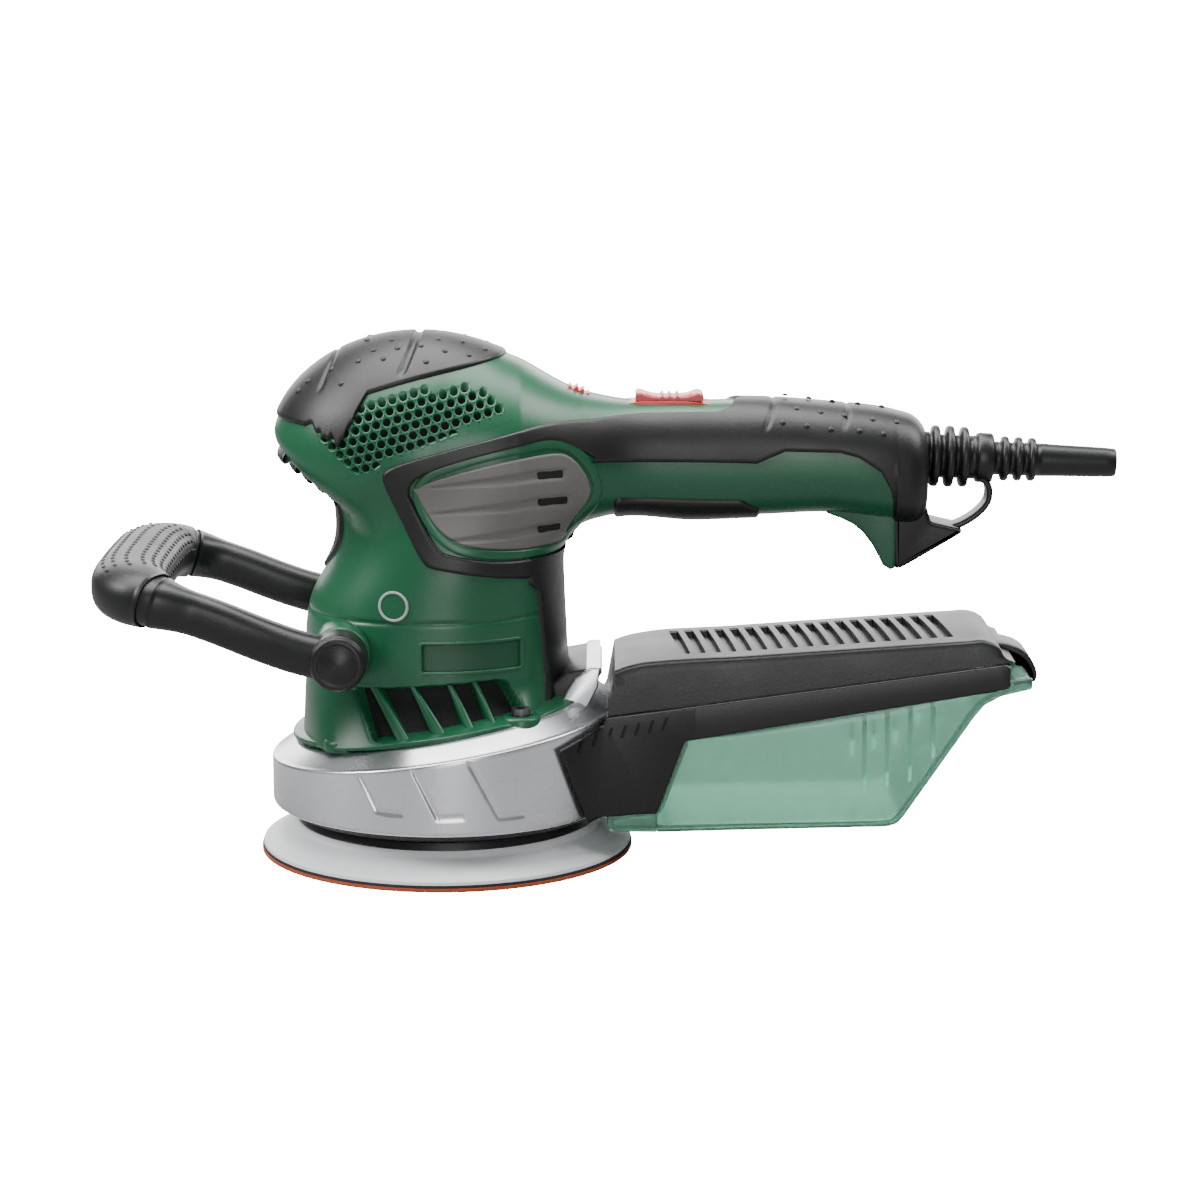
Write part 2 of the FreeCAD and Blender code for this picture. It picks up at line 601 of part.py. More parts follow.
def lid_form(inset, drop):
    """Ruled loft of bevelled sections: x, bottom, shoulder height and top."""
    stations = [(54.0 + inset, 1.8, 4.0, 65.6), (62.0, 0.9, 3.4, 68.0), (141.0, 0.9, 3.2, 73.8),
                (176.0, 0.9, 3.0, 76.2), (187.5 - inset, 0.9, 1.2, 70.6)]
    wires = []
    half = box_half_width - inset
    for x, gap, shoulder, top in stations:
        low = ledge_z(x) + gap
        crown = top - inset
        side = min(low + shoulder, crown - 0.3)
        ring = [(-half, low - drop), (half, low - drop), (half, side), (half - 8, crown),
                (-half + 8, crown), (-half, side)]
        corners = [V(x, y, z) for y, z in ring]
        wires.append(Part.makePolygon(corners + corners[:1]))
    return Part.makeLoft(wires, True, True)


def collar_cheek():
    """Side block of the collar, its front a plane that just clears the drum."""
    side = prism(collar_outline, box_half_width).common(block(0, 200, seat_half, 60, 0, 90))
    angle = math.degrees(math.atan2(24.25, 54.0))
    room = block(-100.0, shroud_radius + drum_gap, -100, 100, 0, 90)
    room.rotate(V(0, 0, 0), V(0, 0, 1), angle)
    return side.cut(room)


def make_dust_box(parts):
    hx, hz = lid_hinge
    front = shroud_radius + drum_gap
    ear = prism([(hx - 3.0, ledge_z(hx - 3.0)), (hx + 3.0, ledge_z(hx + 3.0)), (hx + 3.0, hz),
                 (hx - 3.0, hz)], 28.2).fuse(rod_y(3.0, -28.2, 28.2, hx, hz)).removeSplitter()
    pin = rod_y(1.5, -28.2, 28.2, hx, hz)
    ear = ear.common(block(0, 90, 24.5, 28.2, 40, 80)).cut(pin)
    rail = prism([(84.0, 42.93), (185.8, 59.7), (186.0, 67.6), ledge_rear, (84.0, ledge_z(84.0))],
                 box_half_width).common(block(80, 190, 28.4, 40, 0, 90))
    top_bar = prism([(front, 41.5), (79.3, 41.5), (79.6, 42.2), (84.0, 42.93),
                     (84.0, ledge_z(84.0)), (front, ledge_z(front))], seat_half)
    low_bar = prism([(front, 17.1), (70.5, 17.9), (71.5, 20.5), (front, 20.5)], seat_half)
    rear_bar = prism([(181.5, 59.0), (185.8, 59.7), (186.0, 67.6), ledge_rear,
                      (181.5, ledge_z(181.5))], 28.4)
    sides = [collar_cheek(), ear, rail]
    parts["box_frame"] = Part.makeCompound(
        [top_bar, low_bar, rear_bar] + sides + [mirrored(piece) for piece in sides])
    parts["lid_pin"] = pin
    passage = block(69.0, 90.0, -12.0, 12.0, duct_bottom + 3, duct_top - 3)
    tub = prism(container_outline, 29.5).cut(prism(container_inside, 27.4))
    parts["dust_container"] = cut_all(tub, [block(0, front + 0.3, -60, 60, 0, 90), passage])

    lid = lid_form(0.0, 0.0).cut(lid_form(2.2, 3.0))
    slots = []
    for index in range(18):
        x = 77.0 + 5.1 * index
        slots.append(block(x, x + 2.2, -19.0, 19.0, 60.0, 85.0))
    latch = prism([(184.0, 69.6), (187.0, 70.6), (193.5, 68.6), (197.8, 61.6), (197.2, 57.4),
                   (195.4, 57.6), (195.6, 61.0), (192.2, 66.2), (184.0, 68.6)], 9.0)
    knuckle = rod_y(3.0, -24.2, 24.2, hx, hz)
    bridge = block(54.6, hx, -24.2, 24.2, hz - 2.2, hz + 2.2)
    lid = join([lid, knuckle, bridge, latch])
    ear_room = both_sides(rod_y(3.3, 24.2, 28.6, hx, hz).fuse(block(50, 62, 24.2, 28.6, 40, hz)))
    parts["box_lid"] = cut_all(lid, slots + [ear_room, rod_y(1.56, -30, 30, hx, hz)])
    rim = prism([(88.0, 50.0), (174.0, 61.6), (174.0, 64.4), (88.0, 52.8)], 26.0)
    window = block(92.0, 170.0, -22.0, 22.0, 40.0, 80.0)
    parts["filter_frame"] = rim.cut(window)
    folds = 20
    pitch = 78.0 / folds
    upper = []
    lower = []
    for index in range(folds + 1):
        x = 92.0 + pitch * index
        base = 49.5 + 0.134 * (x - 92.0)
        height = 8.0 if index % 2 else 0.0
        upper.append((x, base + height + 1.4))
        lower.append((x, base + height))
    parts["filter_pleats"] = prism(upper + lower[::-1], 22.0)


def make_screws(parts):
    """Six screws that close the right shell, and four in the foot."""
    places = [(-36.0, 86.0, 24.0), (31.4, 98.0, 24.0), (-14.0, 153.5, 24.0), (52.0, 119.5, 17.0),
              (118.0, 121.0, 14.0), (136.0, 117.5, 11.0)]
    screws = []
    for x, z, head_y in places:
        shank = rod_y(1.6, 4.0, head_y, x, z)
        screws.append(join([shank, rod_y(3.2, head_y - 2.2, head_y, x, z)]))
    parts["housing_screws"] = Part.makeCompound(screws)
    feet = []
    for x, y in ((-32.0, 34.0), (26.0, 38.0), (-32.0, -34.0), (26.0, -38.0)):
        seat_z = roof_height + roof_rise * x + foot_height
        screw = join([rod(3.1, seat_z - 0.2, seat_z + 2.2, x, y),
                      rod(1.6, seat_z - foot_height - 2.8, seat_z, x, y)])
        feet.append(screw.cut(rod(1.4, seat_z + 0.8, seat_z + 4, x, y)))
    parts["shroud_screws"] = Part.makeCompound(feet)


def fit_pieces(parts):
    """Seats and holes: each pair is a piece that gives way and the piece it holds."""
    skin_nodes = ["palm_grip", "side_grip_left", "side_grip_right"]
    pairs = [(shell, inner) for shell in ("housing_left", "housing_right") for inner in (
        "switch_plate", "cord_sleeve", "field_stator", "bearing_bracket", "upper_bearing",
        "brush_holders", "housing_screws", "shroud_screws", "clamp_screws", "cord_clamp",
        "base_shroud", "control_board", "switch_module")]
    pairs += [("base_shroud", "shroud_screws"), ("cord_clamp", "clamp_screws")]
    pairs += [(grip, "cord_sleeve") for grip in skin_nodes[1:]]
    pairs += [(grip, held) for grip in skin_nodes[1:] for held in ("base_shroud", "housing_screws")]
    pairs += [("dust_container", "box_frame")]
    for target, tool in pairs:
        parts[target] = parts[target].cut(parts[tool])


def main():
    parts = {}
    outer = right_body(0.0)
    outer_skin = right_body(grip_proud)
    make_pad(parts)
    make_rotor(parts)
    make_motor(parts)
    make_base(parts, outer_skin)
    make_shells(parts, outer, outer_skin)
    make_cord_exit(parts)
    make_controls(parts)
    make_front_handle(parts)
    make_dust_box(parts)
    make_screws(parts)
    fit_pieces(parts)
    os.makedirs("parts", exist_ok=True)
    for name, shape in sorted(parts.items()):
        solids = shape.Solids
        box = shape.BoundBox
        print("%-20s solids %2d  valid %s  x %.1f..%.1f  y %.1f..%.1f  z %.1f..%.1f" % (
            name, len(solids), shape.isValid(), box.XMin, box.XMax, box.YMin, box.YMax,
            box.ZMin, box.ZMax))
        whole = solids[0] if len(solids) == 1 else Part.makeCompound(solids)
        whole.exportStep("parts/%s.step" % name)
    print(len(parts), "nodes")


main()
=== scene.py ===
import math
import bpy
import numpy as np
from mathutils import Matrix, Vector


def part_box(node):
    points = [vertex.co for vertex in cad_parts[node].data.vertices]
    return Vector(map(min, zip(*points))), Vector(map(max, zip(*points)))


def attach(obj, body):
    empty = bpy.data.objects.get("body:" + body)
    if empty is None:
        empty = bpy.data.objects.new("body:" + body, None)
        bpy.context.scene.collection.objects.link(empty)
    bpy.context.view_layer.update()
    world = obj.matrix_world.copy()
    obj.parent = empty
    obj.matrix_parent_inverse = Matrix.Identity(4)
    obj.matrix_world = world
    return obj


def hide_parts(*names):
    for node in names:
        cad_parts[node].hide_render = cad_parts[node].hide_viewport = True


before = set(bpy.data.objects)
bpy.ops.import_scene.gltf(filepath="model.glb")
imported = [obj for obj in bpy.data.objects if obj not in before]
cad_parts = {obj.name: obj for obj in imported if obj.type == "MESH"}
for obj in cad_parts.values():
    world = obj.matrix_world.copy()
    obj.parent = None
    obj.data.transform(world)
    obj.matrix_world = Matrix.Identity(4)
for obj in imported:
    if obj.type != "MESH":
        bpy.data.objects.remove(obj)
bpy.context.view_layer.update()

# Random orbit sander. Lengths in this script are millimetres and become metres in makePiece.
# X runs to the cord end, Z up, and the near side of the tool is Y < 0.
mm = 0.001


def boxOf(node):
    low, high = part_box(node)
    return np.array(low) / mm, np.array(high) / mm


# Outer form, the same sections as the CAD body.
form = {
    "columnZ": [28, 60, 85, 105, 122, 140],
    "columnX": [-3.2, -3.3, -3.0, 1.3, 1.3, 0.0],
    "columnLong": [44.5, 43.5, 42.0, 37.0, 36.5, 32.0],
    "columnWide": [42.5, 42.0, 41.5, 40.0, 36.5, 30.0],
    "handleX": [26, 44, 58, 82, 106, 128, 146, 158.5],
    "handleZ": [131.5, 132.4, 132.6, 131.8, 132.2, 131.8, 129.8, 127.6],
    "handleHigh": [28, 22, 18.9, 19.2, 18.8, 17.6, 17.6, 16.6],
    "handleWide": [35, 27, 22, 20, 20.2, 20.8, 20.2, 18.6],
    "headCentre": (-8.0, 0.0, 135.0),
    "headAxes": (49.0, 39.0, 38.3),
    "chin": (-56.0, 137.5, -35.5, 121.8),
    "handleEnd": 158.5,
    "roofHigh": 42.2,
    "roofRise": 0.15,
    "gripProud": 1.1,
    "skirt": 7.0,
}


# Cubic through the stations, each with the slope of its neighbours.
def smoothLine(x, stations, values):
    xs = np.asarray(stations, float)
    ys = np.asarray(values, float)
    slope = np.gradient(ys, xs)
    k = np.clip(np.searchsorted(xs, x) - 1, 0, len(xs) - 2)
    h = xs[k + 1] - xs[k]
    t = np.clip((x - xs[k]) / h, 0, 1)
    return (ys[k] * (1 + 2 * t) * (1 - t) ** 2 + slope[k] * h * t * (1 - t) ** 2
            + ys[k + 1] * t * t * (3 - 2 * t) + slope[k + 1] * h * t * t * (t - 1))


def smoothMin(a, b, reach):
    h = np.clip(0.5 + 0.5 * (b - a) / reach, 0, 1)
    return b + (a - b) * h - reach * h * (1 - h)


def smoothMax(a, b, reach):
    return -smoothMin(-a, -b, reach)


def smoothStep(low, high, value):
    t = np.clip((value - low) / (high - low), 0, 1)
    return t * t * (3 - 2 * t)


# Rough distance to the outer form: column, egg-shaped head and handle, blended where they meet.
def bodyField(p):
    x, y, z = p[..., 0], p[..., 1], p[..., 2]
    f = form
    wide = smoothLine(z, f["columnZ"], f["columnWide"])
    across = np.abs((x - smoothLine(z, f["columnZ"], f["columnX"]))
                    / smoothLine(z, f["columnZ"], f["columnLong"]))
    column = ((across ** 2.15 + np.abs(y / wide) ** 2.15) ** (1 / 2.15) - 1) * wide
    base = f["roofHigh"] + f["roofRise"] * x + 5.0
    open64 = np.clip((64.0 - z) / np.maximum(64.0 - base, 1.0), 0, 1)
    column = column - f["skirt"] * open64 ** 1.7 * smoothStep(-50, -34, x) * (1 - smoothStep(26, 40, x))
    column = smoothMax(column, z - 138, 6)
    cx, cy, cz = f["headCentre"]
    ax, ay, az = f["headAxes"]
    near = np.sqrt(((x - cx) / ax) ** 2 + ((y - cy) / ay) ** 2 + ((z - cz) / az) ** 2)
    steep = np.sqrt(((x - cx) / ax ** 2) ** 2 + (y / ay ** 2) ** 2 + ((z - cz) / az ** 2) ** 2)
    head = near * (near - 1) / np.maximum(steep, 1e-6)
    x0, z0, x1, z1 = f["chin"]
    run = math.hypot(x1 - x0, z1 - z0)
    chin = (x - x0) * (z1 - z0) / run - (z - z0) * (x1 - x0) / run
    head = smoothMax(head, chin, 5)
    high = smoothLine(x, f["handleX"], f["handleHigh"])
    side = smoothLine(x, f["handleX"], f["handleWide"])
    level = (z - smoothLine(x, f["handleX"], f["handleZ"])) / high
    handle = ((np.abs(level) ** 2.5 + np.abs(y / side) ** 2.5) ** 0.4 - 1) * np.minimum(high, side)
    handle = smoothMax(handle, x - f["handleEnd"], 6)
    handle = smoothMax(handle, 12 - x, 12)
    return smoothMin(smoothMin(column, head, 6), handle, 12)


# First way out of the outer form from start along direction, by halving.
def castOut(start, direction, reach):
    start, direction = np.broadcast_arrays(start, direction)
    low = np.zeros(start.shape[:-1])
    high = np.broadcast_to(reach, low.shape).astype(float).copy()
    for step in range(26):
        middle = (low + high) / 2
        inside = bodyField(start + direction * middle[..., None]) < 0
        low = np.where(inside, middle, low)
        high = np.where(inside, high, middle)
    return start + direction * low[..., None]


# Unit normal of the outer form, from differences of its field.
def outward(p):
    e = 0.4
    grad = np.stack([bodyField(p + step) - bodyField(p - step) for step in np.eye(3) * e], -1)
    return grad / np.maximum(np.linalg.norm(grad, axis=-1, keepdims=True), 1e-9)


# Mesh helpers.
def gridQuads(rows, cols, wrapRows=False, wrapCols=False, flip=False):
    r = np.arange(rows if wrapRows else rows - 1)
    c = np.arange(cols if wrapCols else cols - 1)
    R, C = np.meshgrid(r, c, indexing="ij")
    R1, C1 = (R + 1) % rows, (C + 1) % cols
    quads = np.stack([R * cols + C, R * cols + C1, R1 * cols + C1, R1 * cols + C], -1).reshape(-1, 4)
    return quads[:, ::-1] if flip else quads


# One mesh from several (points, faces) pairs.
def makePiece(name, parts, body, material, replaced=(), smooth=True, angle=None):
    points, faces, offset = [], [], 0
    for pts, fcs in parts:
        pts = np.asarray(pts, float).reshape(-1, 3)
        points.append(pts)
        faces += [[int(v) + offset for v in face] for face in fcs]
        offset += len(pts)
    mesh = bpy.data.meshes.new(name)
    mesh.from_pydata((np.concatenate(points) * mm).tolist(), [], faces)
    mesh.validate()
    piece = bpy.data.objects.new(name, mesh)
    bpy.context.scene.collection.objects.link(piece)
    if smooth:
        mesh.shade_smooth()
        if angle:
            mesh.set_sharp_from_angle(angle=math.radians(angle))
    mesh.materials.append(material)
    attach(piece, body)
    if replaced:
        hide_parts(*replaced)
    return piece


def thicken(piece, thickness, offset=-1.0):
    wall = piece.modifiers.new("wall", "SOLIDIFY")
    wall.thickness = thickness * mm
    wall.offset = offset
    return piece


# Corner cutting: each pass replaces a corner by two points on its legs.
def soften(points, rounds=3, closed=True):
    p = np.asarray(points, float)
    for _ in range(rounds):
        q = np.roll(p, -1, axis=0) if closed else p[1:]
        a = p if closed else p[:-1]
        cut = np.stack([0.75 * a + 0.25 * q, 0.25 * a + 0.75 * q], 1).reshape(-1, p.shape[1])
        p = cut if closed else np.concatenate([p[:1], cut, p[-1:]])
    return p


# The same outline with count points at equal steps along it.
def evenly(points, count, closed=True):
    p = np.asarray(points, float)
    if closed:
        p = np.concatenate([p, p[:1]])
    lengths = np.concatenate([[0], np.cumsum(np.linalg.norm(np.diff(p, axis=0), axis=1))])
    at = np.linspace(0, lengths[-1], count + 1)[:-1] if closed else np.linspace(0, lengths[-1], count)
    return np.stack([np.interp(at, lengths, p[:, k]) for k in range(p.shape[1])], -1)


# Profile of (radius, height) turned about an upright axis.
def lathe(profile, centre=(0, 0), segments=144, close=False):
    pr = np.asarray(profile, float)
    turn = np.linspace(0, 2 * np.pi, segments, endpoint=False)
    x = centre[0] + pr[:, None, 0] * np.cos(turn)
    y = centre[1] + pr[:, None, 0] * np.sin(turn)
    z = np.broadcast_to(pr[:, None, 1], x.shape)
    return np.stack([x, y, z], -1), gridQuads(len(pr), segments, close, True, True)


# Point of the outer form straight out to one side of (x, z).
def sideSkin(x, z, side):
    start = np.stack([x, np.zeros_like(x), z], -1)
    return castOut(start, np.array([0.0, side, 0.0]), 70.0)


# Height over the skin at a distance in from an edge: a quarter circle up from below the skin.
def edgeRoll(inset, width, proud, sunk=0.7):
    t = np.clip(inset / width, 0, 1)
    return -sunk + (proud + sunk) * np.sqrt(np.maximum(1 - (1 - t) ** 2, 0))


# Raised patch on the skin: rings that shrink from an outline on the side view to its middle.
def fanPatch(outline, side, proud, roll=1.4, rings=26, dent=None, sunk=0.7):
    edge = np.asarray(outline, float)
    middle = edge.mean(0)
    s = (1 - np.linspace(1, 0, rings) ** 1.0)[:, None, None]
    flat = edge[None] + (middle - edge)[None] * s
    skin = sideSkin(flat[..., 0], flat[..., 1], side)
    inset = np.linalg.norm(flat - edge[None], axis=-1)
    height = edgeRoll(inset, roll, proud, sunk)
    if dent is not None:
        height = height - dent(flat[..., 0], flat[..., 1])
    points = skin + outward(skin) * height[..., None]
    return points, gridQuads(rings, len(edge), False, True, side > 0)


# Raised band on the skin between two open curves on the side view with equally many points.
def stripPatch(outer, inner, side, proud, across=24, roll=1.4, rollEnds=(False, False), sunk=0.7):
    a, b = np.asarray(outer, float), np.asarray(inner, float)
    t = 0.5 - 0.5 * np.cos(np.linspace(0, np.pi, across))
    flat = a[:, None] * (1 - t)[None, :, None] + b[:, None] * t[None, :, None]
    skin = sideSkin(flat[..., 0], flat[..., 1], side)
    inset = np.minimum(np.linalg.norm(flat - a[:, None], axis=-1), np.linalg.norm(flat - b[:, None], axis=-1))
    for end, index in zip(rollEnds, (0, -1)):
        if end:
            inset = np.minimum(inset, np.linalg.norm(flat - flat[index][None], axis=-1))
    points = skin + outward(skin) * edgeRoll(inset, roll, proud, sunk)[..., None]
    return points, gridQuads(len(a), across, False, False, side < 0)


# Rounded ridge on the skin that follows an outline on the side view.
def beadAlong(outline, side, width, proud, closed=True, across=9, lift=0.0):
    p = np.asarray(outline, float)
    ahead = np.roll(p, -1, 0) if closed else np.concatenate([p[1:], p[-1:] * 2 - p[-2:-1]])
    behind = np.roll(p, 1, 0) if closed else np.concatenate([p[:1] * 2 - p[1:2], p[:-1]])
    along = ahead - behind
    along /= np.maximum(np.linalg.norm(along, axis=1, keepdims=True), 1e-9)
    normal = np.stack([-along[:, 1], along[:, 0]], -1)
    j = np.linspace(-1, 1, across)
    flat = p[:, None] + normal[:, None] * (j * width / 2)[None, :, None]
    skin = sideSkin(flat[..., 0], flat[..., 1], side)
    height = lift - 0.5 + (proud + 0.5) * np.sqrt(np.maximum(1 - j ** 4, 0))
    points = skin + outward(skin) * height[None, :, None]
    return points, gridQuads(len(p), across, closed, False, side > 0)


# Closed part with its faces turned outward, judged by its signed volume.
def turnedOut(points, faces):
    pts = np.asarray(points, float).reshape(-1, 3)
    volume = 0.0
    for face in faces:
        first = pts[face[0]]
        rest = pts[list(face[1:])]
        volume += np.sum(np.cross(rest[:-1], rest[1:]) @ first)
    return pts, (faces if volume > 0 else [list(face)[::-1] for face in faces])


# Closed outline with each corner rounded by a short curve.
def crisp(points, radius, steps=4):
    p = np.asarray(points, float)
    result = []
    for before, corner, after in zip(np.roll(p, 1, 0), p, np.roll(p, -1, 0)):
        a = corner + (before - corner) * min(0.45, radius / np.linalg.norm(before - corner))
        b = corner + (after - corner) * min(0.45, radius / np.linalg.norm(after - corner))
        for t in np.linspace(0, 1, steps):
            result.append((1 - t) ** 2 * a + 2 * t * (1 - t) * corner + t * t * b)
    return np.array(result)


# Outline on the side view carried across from y0 to y1, with rounded rims and flat ends.
def plateOf(outline, y0, y1, edge=0.8, steps=4, across=2):
    p = np.asarray(outline, float)
    area = np.sum(p[:, 0] * np.roll(p[:, 1], -1) - np.roll(p[:, 0], -1) * p[:, 1])
    if area < 0:
        p = p[::-1]
    along = np.roll(p, -1, 0) - np.roll(p, 1, 0)
    along /= np.maximum(np.linalg.norm(along, axis=1, keepdims=True), 1e-9)
    inward = np.stack([-along[:, 1], along[:, 0]], -1)
    q = np.linspace(0, np.pi / 2, steps)
    inset = np.concatenate([edge * (1 - np.sin(q)), np.zeros(across), edge * (1 - np.cos(q))])
    depth = np.concatenate([y0 + edge * (1 - np.cos(q)), np.linspace(y0 + edge, y1 - edge, across + 2)[1:-1],
                            y1 - edge + edge * np.sin(q)])
    flat = p[None] + inward[None] * inset[:, None, None]
    points = np.stack([flat[..., 0], np.broadcast_to(depth[:, None], flat.shape[:2]), flat[..., 1]], -1)
    rows, count = len(depth), len(p)
    faces = gridQuads(rows, count, False, True, False).tolist()
    faces = [face[::-1] for face in faces]
    faces.append(list(range(count)))
    faces.append([(rows - 1) * count + k for k in range(count)][::-1])
    return turnedOut(points, faces)


# Closed section of (u, v) points carried along a path with given side and up directions.
def sweep(path, across, up, sections, closedEnds=True):
    path, across, up = np.asarray(path, float), np.asarray(across, float), np.asarray(up, float)
    s = np.asarray(sections, float)
    points = path[:, None] + across[:, None] * s[..., 0:1] + up[:, None] * s[..., 1:2]
    n, m = points.shape[:2]
    faces = gridQuads(n, m, False, True, False).tolist()
    if closedEnds:
        faces.append(list(range(m)))
        faces.append([(n - 1) * m + k for k in range(m)][::-1])
        return turnedOut(points, faces)
    return points.reshape(-1, 3), faces


def ringSection(halfU, halfV, power=2.6, count=36):
    a = np.linspace(0, 2 * np.pi, count, endpoint=False)
    c, s = np.cos(a), np.sin(a)
    return np.stack([halfU * np.sign(c) * np.abs(c) ** (2 / power),
                     halfV * np.sign(s) * np.abs(s) ** (2 / power)], -1)


# Small raised bumps: a quarter-circle cap at every centre, all in one mesh.
def domes(centres, normals, radius, height, around=10, rings=4):
    n = normals / np.linalg.norm(normals, axis=-1, keepdims=True)
    helper = np.where(np.abs(n[:, 2:3]) > 0.9, [[1.0, 0, 0]], [[0, 0, 1.0]])
    u = np.cross(n, helper)
    u /= np.linalg.norm(u, axis=1, keepdims=True)
    v = np.cross(n, u)
    q = np.linspace(0, np.pi / 2 * 0.93, rings)
    a = np.linspace(0, 2 * np.pi, around, endpoint=False)
    r, h = radius * np.cos(q), height * np.sin(q)
    spread = (u[:, None, None] * np.cos(a)[None, None, :, None] + v[:, None, None]
              * np.sin(a)[None, None, :, None])
    pts = centres[:, None, None] + spread * r[None, :, None, None] + n[:, None, None] * h[None, :, None, None]
    one = gridQuads(rings, around, False, True, True).tolist()
    one.append([(rings - 1) * around + k for k in range(around)][::-1])
    size = rings * around
    faces = [[v + size * i for v in face] for i in range(len(centres)) for face in one]
    return pts.reshape(-1, 3), faces


# Materials.
def newGroup(name, inputs, outputs):
    group = bpy.data.node_groups.new(name, "ShaderNodeTree")
    for label, kind, value in inputs:
        socket = group.interface.new_socket(label, in_out="INPUT", socket_type=kind)
        socket.default_value = value
    for label, kind in outputs:
        group.interface.new_socket(label, in_out="OUTPUT", socket_type=kind)
    return group, group.nodes.new("NodeGroupInput"), group.nodes.new("NodeGroupOutput")


# Moulded texture: two sizes of noise and fine pits, as a bumped normal and a roughness shift.
def makeGrainGroup():
    group, entry, leave = newGroup(
        "mouldedGrain",
        [("Scale", "NodeSocketFloat", 1500.0), ("Depth", "NodeSocketFloat", 0.2),
         ("Roughness", "NodeSocketFloat", 0.45)],
        [("Normal", "NodeSocketVector"), ("Roughness", "NodeSocketFloat")])
    nodes, link = group.nodes, group.links.new
    place = nodes.new("ShaderNodeTexCoord")
    pits = nodes.new("ShaderNodeTexVoronoi")
    fine = nodes.new("ShaderNodeTexNoise")
    fine.inputs["Detail"].default_value = 4
    broad = nodes.new("ShaderNodeTexNoise")
    broad.inputs["Scale"].default_value = 45
    blend = nodes.new("ShaderNodeMath")
    blend.operation = "MULTIPLY_ADD"
    blend.inputs[1].default_value = 0.6
    bump = nodes.new("ShaderNodeBump")
    bump.inputs["Distance"].default_value = 0.00012
    shift = nodes.new("ShaderNodeMath")
    shift.operation = "MULTIPLY_ADD"
    shift.inputs[1].default_value = 0.16
    less = nodes.new("ShaderNodeMath")
    less.operation = "SUBTRACT"
    less.inputs[1].default_value = 0.08
    for texture in (pits, fine, broad):
        link(place.outputs["Object"], texture.inputs["Vector"])
    link(entry.outputs["Scale"], pits.inputs["Scale"])
    link(entry.outputs["Scale"], fine.inputs["Scale"])
    link(pits.outputs["Distance"], blend.inputs[0])
    link(fine.outputs["Fac"], blend.inputs[2])
    link(blend.outputs[0], bump.inputs["Height"])
    link(entry.outputs["Depth"], bump.inputs["Strength"])
    link(broad.outputs["Fac"], shift.inputs[0])
    link(entry.outputs["Roughness"], shift.inputs[2])
    link(shift.outputs[0], less.inputs[0])
    link(bump.outputs["Normal"], leave.inputs["Normal"])
    link(less.outputs[0], leave.inputs["Roughness"])
    return group


# Slow random colour variation and lighter convex edges, as one colour; the edge lightening is partly rubbed
# wear and partly painted edge highlight.
def makeTintGroup():
    group, entry, leave = newGroup(
        "tintAndWear",
        [("Colour", "NodeSocketColor", (0.5, 0.5, 0.5, 1)), ("Rubbed", "NodeSocketColor", (0.7, 0.7, 0.7, 1)),
         ("Variation", "NodeSocketFloat", 0.15), ("Wear", "NodeSocketFloat", 0.3),
         ("Scale", "NodeSocketFloat", 30.0)],
        [("Colour", "NodeSocketColor")])
    nodes, link = group.nodes, group.links.new
    place = nodes.new("ShaderNodeTexCoord")
    cloud = nodes.new("ShaderNodeTexNoise")
    cloud.inputs["Detail"].default_value = 5
    deeper = nodes.new("ShaderNodeMix")
    deeper.data_type = "RGBA"
    deeper.blend_type = "MULTIPLY"
    amount = nodes.new("ShaderNodeMath")
    amount.operation = "MULTIPLY"
    # Convex edges picked out by pointiness are mixed towards the lighter colour: partly rubbed wear, partly
    # painted edge highlight.
    edges = nodes.new("ShaderNodeNewGeometry")
    sharp = nodes.new("ShaderNodeValToRGB")
    sharp.color_ramp.elements[0].position = 0.52
    sharp.color_ramp.elements[1].position = 0.62
    rubAndSheen = nodes.new("ShaderNodeMath")
    rubAndSheen.operation = "MULTIPLY"
    paint = nodes.new("ShaderNodeMix")
    paint.data_type = "RGBA"
    link(place.outputs["Object"], cloud.inputs["Vector"])
    link(entry.outputs["Scale"], cloud.inputs["Scale"])
    link(cloud.outputs["Fac"], amount.inputs[0])
    link(entry.outputs["Variation"], amount.inputs[1])
    link(amount.outputs[0], deeper.inputs["Factor"])
    link(entry.outputs["Colour"], deeper.inputs["A"])
    deeper.inputs["B"].default_value = (0.35, 0.35, 0.35, 1)
    link(edges.outputs["Pointiness"], sharp.inputs["Fac"])
    link(sharp.outputs["Color"], rubAndSheen.inputs[0])
    link(entry.outputs["Wear"], rubAndSheen.inputs[1])
    link(rubAndSheen.outputs[0], paint.inputs["Factor"])
    link(deeper.outputs["Result"], paint.inputs["A"])
    link(entry.outputs["Rubbed"], paint.inputs["B"])
    link(paint.outputs["Result"], leave.inputs["Colour"])
    return group


grainGroup = makeGrainGroup()
tintGroup = makeTintGroup()


def groupNode(material, group, **values):
    node = material.node_tree.nodes.new("ShaderNodeGroup")
    node.node_tree = group
    for label, value in values.items():
        node.inputs[label].default_value = value
    return node


